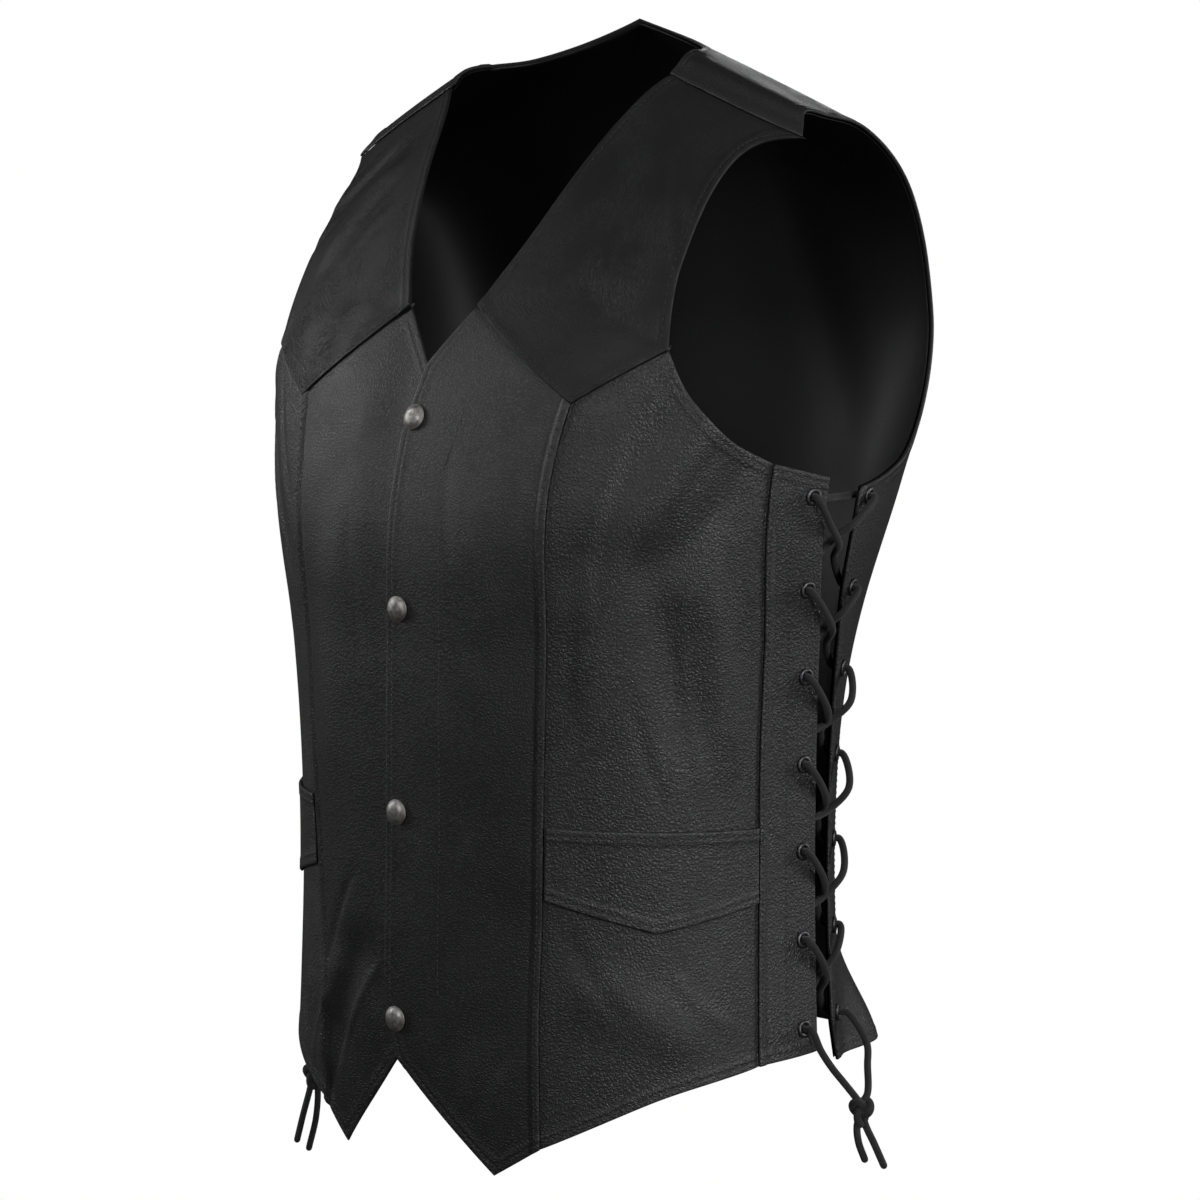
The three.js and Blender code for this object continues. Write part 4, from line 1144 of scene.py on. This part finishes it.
def tidyMesh(piece):
    # Join the points that a closed profile or a pole repeats
    data = bmesh.new()
    data.from_mesh(piece.data)
    bmesh.ops.remove_doubles(data, verts=data.verts, dist=1e-6)
    bmesh.ops.dissolve_degenerate(data, edges=data.edges, dist=1e-6)
    bmesh.ops.recalc_face_normals(data, faces=data.faces)
    data.to_mesh(piece.data)
    data.free()


def makeSnaps():
    points, faces, marks = turned(snapSizes["profile"], 48)
    for i, level in enumerate(snapSizes["levels"]):
        centre = vestPoint(0, level, outerFace + snapSizes["lift"])
        normal = bodyNormal(np.array(0.0), np.array(float(level)))
        piece = addMesh(f"snap_cap_{i + 1}", stand(points, centre, normal), faces,
                        [looks["nickel"]], None, {"turned": marks})
        tidyMesh(piece)
        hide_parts(f"snap_{i + 1}")


def eyeletSeat(side, atFront, i):
    level = cut["eyeletTop"] + i * cut["eyeletPitch"]
    girth = cut["edgeGirth"] - cut["eyeletEdge"] if atFront else float(backEdge(level)) - cut["eyeletEdge"]
    signed = -level if atFront else level
    at = lambda g, l: vestPoint(side * (girth + g), signed + l, outerFace + cut["eyeletLift"])
    across = at(5, 0) - at(-5, 0)
    along = at(0, 12) - at(0, -12)
    normal = unit(np.cross(across, along)) * side
    return at(0, 0), normal, level


def makeEyelets():
    points, faces, marks = turned(eyeletSizes["profile"], 32)
    for name, hung in hang.items():
        for place in ("front", "back"):
            allPoints, allFaces = [], []
            for i in range(cut["eyeletCount"]):
                centre, normal, _ = eyeletSeat(hung["side"], place == "front", i)
                base = i * len(points)
                allPoints.append(stand(points, centre, normal))
                allFaces += [tuple(base + k for k in face) for face in faces]
            piece = addMesh(f"eyelets_{place}_{name}", np.concatenate(allPoints), allFaces,
                            [looks["gunmetal"]], None, {"turned": np.tile(marks, (cut["eyeletCount"], 1))})
            tidyMesh(piece)
            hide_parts(*[f"eyelet_{place}_{name}_{i + 1}" for i in range(cut["eyeletCount"])])


makeSnaps()
makeEyelets()
print("snaps and eyelets made")

# Laces
lace = {"radius": 2.15, "exit": 3.4, "inside": -5.6, "outside": 5.2, "crossing": 2.9, "barDrop": 1.5,
        "sides": 14, "clearance": 0.3}
# A few crossings hang slack: side, lace, crossing, further round, lower, further out
slackRows = (
    ("left", "b", 2, 5.0, 4, 5.0),
    ("left", "a", 3, 6.0, 6, 6.0),
    ("left", "b", 4, 3.0, 5, 4.5),
    ("right", "a", 2, 4.0, 4, 4.0),
    ("right", "b", 3, 3.0, 4, 4.0),
)
tieRoutes = {
    "left": {
        "front": ((189, 6, -572), (193, 12, -583), (197, 18, -592), (202, 23.4, -601.4)),
        "back": ((192, 48, -575), (197, 42, -587), (204.6, 31, -600.2)),
        "knot": (204, 26, -609),
        "tailFront": ((202.8, 23.4, -618.4), (205, 22, -627), (208, 24, -637)),
        "tailBack": ((205.4, 28, -617.4), (211, 29, -628), (216, 32, -641)),
    },
    "right": {
        "front": ((-191, -2, -574), (-196, -5, -592), (-202, -10, -615), (-208.8, -14.5, -645.3)),
        "back": ((-193, 46, -576), (-201, 32, -594), (-209, 10, -618), (-212.6, -9.5, -645.3)),
        "knot": (-211, -14, -654),
        "tailFront": ((-211.8, -16.6, -662.9), (-214, -21, -680), (-216, -25, -697)),
        "tailBack": ((-209.2, -12.2, -663.1), (-208, -15, -682), (-211, -19, -703)),
    },
}


def smoothRoute(points, per=10):
    # A smooth line through the points, evenly paced between them
    p = np.array(points, float)
    p = np.concatenate(([2 * p[0] - p[1]], p, [2 * p[-1] - p[-2]]))
    out = []
    for i in range(1, len(p) - 2):
        a, b, c, d = p[i - 1:i + 3]
        k = [0]
        for one, two in ((a, b), (b, c), (c, d)):
            k.append(k[-1] + max(1e-4, np.linalg.norm(two - one)) ** 0.5)
        for t in np.linspace(k[1], k[2], per, endpoint=False):
            a1 = (k[1] - t) / k[1] * a + t / k[1] * b
            a2 = (k[2] - t) / (k[2] - k[1]) * b + (t - k[1]) / (k[2] - k[1]) * c
            a3 = (k[3] - t) / (k[3] - k[2]) * c + (t - k[2]) / (k[3] - k[2]) * d
            b1 = (k[2] - t) / k[2] * a1 + t / k[2] * a2
            b2 = (k[3] - t) / (k[3] - k[1]) * a2 + (t - k[1]) / (k[3] - k[1]) * a3
            out.append((k[2] - t) / (k[2] - k[1]) * b1 + (t - k[1]) / (k[2] - k[1]) * b2)
    out.append(p[-2])
    return np.array(out)


def tube(name, route, radius, closed=False):
    # A round tube along its route, with rounded ends
    route = np.array(route)
    count, sides = len(route), lace["sides"]
    if closed:
        direction = unit(np.roll(route, -1, axis=0) - np.roll(route, 1, axis=0))
    else:
        direction = unit(np.gradient(route, axis=0))
    up = unit(np.cross(direction[0], (0.3, 0.2, 0.9)))
    frames = []
    for tangent in direction:
        up = unit(up - tangent * np.dot(up, tangent))
        frames.append((up, np.cross(tangent, up)))
    rings = [(route[k], frames[k], radius, k) for k in range(count)]
    if not closed:
        capped = lambda k, way: [(route[k] + way * direction[k] * radius * math.sin(a), frames[k],
                                  radius * math.cos(a), k) for a in (0.5, 0.95, 1.3)]
        rings = capped(0, -1)[::-1] + rings + capped(count - 1, 1)
    angle = np.linspace(0, 2 * math.pi, sides, endpoint=False)
    points, marks = [], []
    walked = np.concatenate(([0], np.cumsum(np.linalg.norm(np.diff(route, axis=0), axis=1))))
    for centre, (one, two), size, k in rings:
        for a in angle:
            points.append(centre + size * (one * math.cos(a) + two * math.sin(a)))
            marks.append((walked[k], 6 * math.sin(a), 6 * math.cos(a)))
    faces = []
    last = len(rings)
    for k in range(last if closed else last - 1):
        for i in range(sides):
            j = (i + 1) % sides
            a, b = k * sides, (k + 1) % last * sides
            faces.append((a + i, a + j, b + j, b + i))
    if not closed:
        faces.append(tuple(reversed(range(sides))))
        faces.append(tuple((last - 1) * sides + i for i in range(sides)))
    piece = addMesh(name, np.array(points), faces, [looks["lace"]], None, {"run": np.array(marks)})
    return piece


def gapPoint(side, past, level, height):
    gap = float(lacingGap(level))
    share = min(max(past / gap, 0), 1)
    stands = cut["stripFlare"] + (cut["backFlare"] - cut["stripFlare"]) * share
    girth = np.array(side * (cut["edgeGirth"] + past))
    at = np.array(-float(level))
    return bodyPoint(girth, at) + bodyNormal(girth, at) * (stands + height)


def laceRoute(name, letter):
    side = hang[name]["side"]
    startsAtFront = letter == "a"
    slack = {row[2]: row[3:] for row in slackRows if row[:2] == (name, letter)}
    atFrontOf = lambda i: (i % 2 == 0) == startsAtFront
    past = lambda atFront, level, fromEdge: -fromEdge if atFront else float(lacingGap(level)) + fromEdge
    _, _, firstLevel = eyeletSeat(side, atFrontOf(0), 0)
    bar = firstLevel + 3
    middle = float(lacingGap(bar)) / 2 + (-0.2 if startsAtFront else 0.2)
    drop = lace["inside"] - lace["barDrop"]
    points = [gapPoint(side, middle, bar, drop), gapPoint(side, past(atFrontOf(0), bar, 6), bar, drop)]
    for i in range(cut["eyeletCount"]):
        atFront = atFrontOf(i)
        centre, normal, level = eyeletSeat(side, atFront, i)
        points += [centre + normal * height for height in (-6.2, -1, lace["exit"])]
        if i == cut["eyeletCount"] - 1:
            break
        further, lower, out = slack.get(i, (0, 0, 0))
        half = level + cut["eyeletPitch"] / 2 + lower
        lean = lace["crossing"] if atFront else -lace["crossing"]
        over = level + 0.28 * cut["eyeletPitch"] + lower * 0.6
        points.append(gapPoint(side, past(atFront, over, 0) + further, over, lace["outside"] + out))
        points.append(gapPoint(side, float(lacingGap(level)) / 2 + further, half, lean + out * 0.8))
        under = level + 0.72 * cut["eyeletPitch"]
        points.append(gapPoint(side, past(not atFront, under, 0), under, lace["inside"]))
    return points


def knotRoute(centre, size=1.9):
    # The path of an overhand knot, seen from the side
    t = np.linspace(0, 2 * math.pi, 96, endpoint=False)
    x = np.sin(t) + 2 * np.sin(2 * t)
    z = np.cos(t) - 2 * np.cos(2 * t)
    y = -1.25 * np.sin(3 * t)
    turn = np.array(Matrix.Rotation(math.radians(40), 3, "Z"))
    return (np.stack((x, y, z * 1.42), axis=1) * size) @ turn.T + np.array(centre)


def makeLaces():
    for name, hung in hang.items():
        side = hung["side"]
        for letter in ("a", "b"):
            route = smoothRoute(laceRoute(name, letter), 8)
            piece = tube(f"lace_cord_{letter}_{name}", route, lace["radius"])
            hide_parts(f"lace_{letter}_{name}")
        routes = tieRoutes[name]
        knot = tube(f"knot_cord_{name}", knotRoute(routes["knot"]), lace["radius"] * 1.08, closed=True)
        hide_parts(f"knot_{name}")
        for place, tail in (("front", "tailFront"), ("back", "tailBack")):
            centre, normal, _ = eyeletSeat(side, place == "front", cut["eyeletCount"] - 1)
            start = [centre + normal * (lace["exit"] + lift) for lift in (lace["clearance"], 2.4)]
            way = [*start, *routes[place], np.array(routes["knot"]) + (0, 0, 3), *routes[tail]]
            line = smoothRoute(way, 10)
            piece = tube(f"tie_cord_{place}_{name}", line, lace["radius"])
            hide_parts(f"tie_{place}_{name}", f"tail_{place}_{name}")


makeLaces()
print("laces made")

# Stage: a pale floor well below the vest, and large soft lights
studio = {
    "floor": {"drop": -1.35, "size": 30, "white": 1.0},
    "world": {"light": 0.05, "seen": 1.0},
    "lights": (
        ("key", (2.4, -0.5, 0.35), (0.1, -0.1, -0.3), 0.8, 1.7, 34),
        ("front", (0.35, -2.5, 0.8), (0, -0.1, -0.3), 0.9, 1.5, 18),
        ("fill", (-2.3, -1.0, 0.6), (-0.1, -0.1, -0.2), 0.6, 1.5, 19),
        ("above", (0.5, -0.6, 2.4), (0, 0, -0.2), 1.4, 1.4, 5),
        ("rearLeft", (-1.6, 2.2, 0.1), (0, 0, -0.35), 0.9, 1.4, 28),
        ("rearRight", (1.7, 2.2, 0.0), (0, 0, -0.35), 0.6, 1.3, 14),
    ),
}


def makeStage():
    floor = studio["floor"]
    data = bpy.data.meshes.new("floor")
    s = floor["size"]
    data.from_pydata([(-s, -s, 0), (s, -s, 0), (s, s, 0), (-s, s, 0)], [], [(0, 1, 2, 3)])
    plane = bpy.data.objects.new("floor", data)
    plane.location.z = floor["drop"]
    look = Look("floorPaint")
    paint = look.make("ShaderNodeEmission", None, {"Color": rgb(*[floor["white"]] * 3), "Strength": 1.0}, 0)
    end = look.tree.nodes.new("ShaderNodeOutputMaterial")
    look.tree.links.new(paint.socket, end.inputs["Surface"])
    data.materials.append(look.material)
    plane.visible_diffuse = False
    plane.visible_glossy = False
    scene.collection.objects.link(plane)
    for name, place, aim, width, height, power in studio["lights"]:
        lamp = bpy.data.lights.new(name, "AREA")
        lamp.shape = "RECTANGLE"
        lamp.size, lamp.size_y, lamp.energy = width, height, power
        item = bpy.data.objects.new(name, lamp)
        item.location = place
        item.rotation_euler = (Vector(place) - Vector(aim)).to_track_quat("Z", "Y").to_euler()
        scene.collection.objects.link(item)


def makeWorld():
    world = bpy.data.worlds.new("studio")
    world.use_nodes = True
    scene.world = world
    tree = world.node_tree
    tree.nodes.clear()
    paths = tree.nodes.new("ShaderNodeLightPath")
    soft, seen = tree.nodes.new("ShaderNodeBackground"), tree.nodes.new("ShaderNodeBackground")
    soft.inputs["Strength"].default_value = studio["world"]["light"]
    soft.inputs["Color"].default_value = (1, 1, 1, 1)
    seen.inputs["Color"].default_value = (1, 1, 1, 1)
    seen.inputs["Strength"].default_value = studio["world"]["seen"]
    blend = tree.nodes.new("ShaderNodeMixShader")
    tree.links.new(paths.outputs["Is Camera Ray"], blend.inputs[0])
    tree.links.new(soft.outputs[0], blend.inputs[1])
    tree.links.new(seen.outputs[0], blend.inputs[2])
    end = tree.nodes.new("ShaderNodeOutputWorld")
    tree.links.new(blend.outputs[0], end.inputs["Surface"])


makeStage()
makeWorld()
scene.view_settings.view_transform = "Standard"
print("stage made")
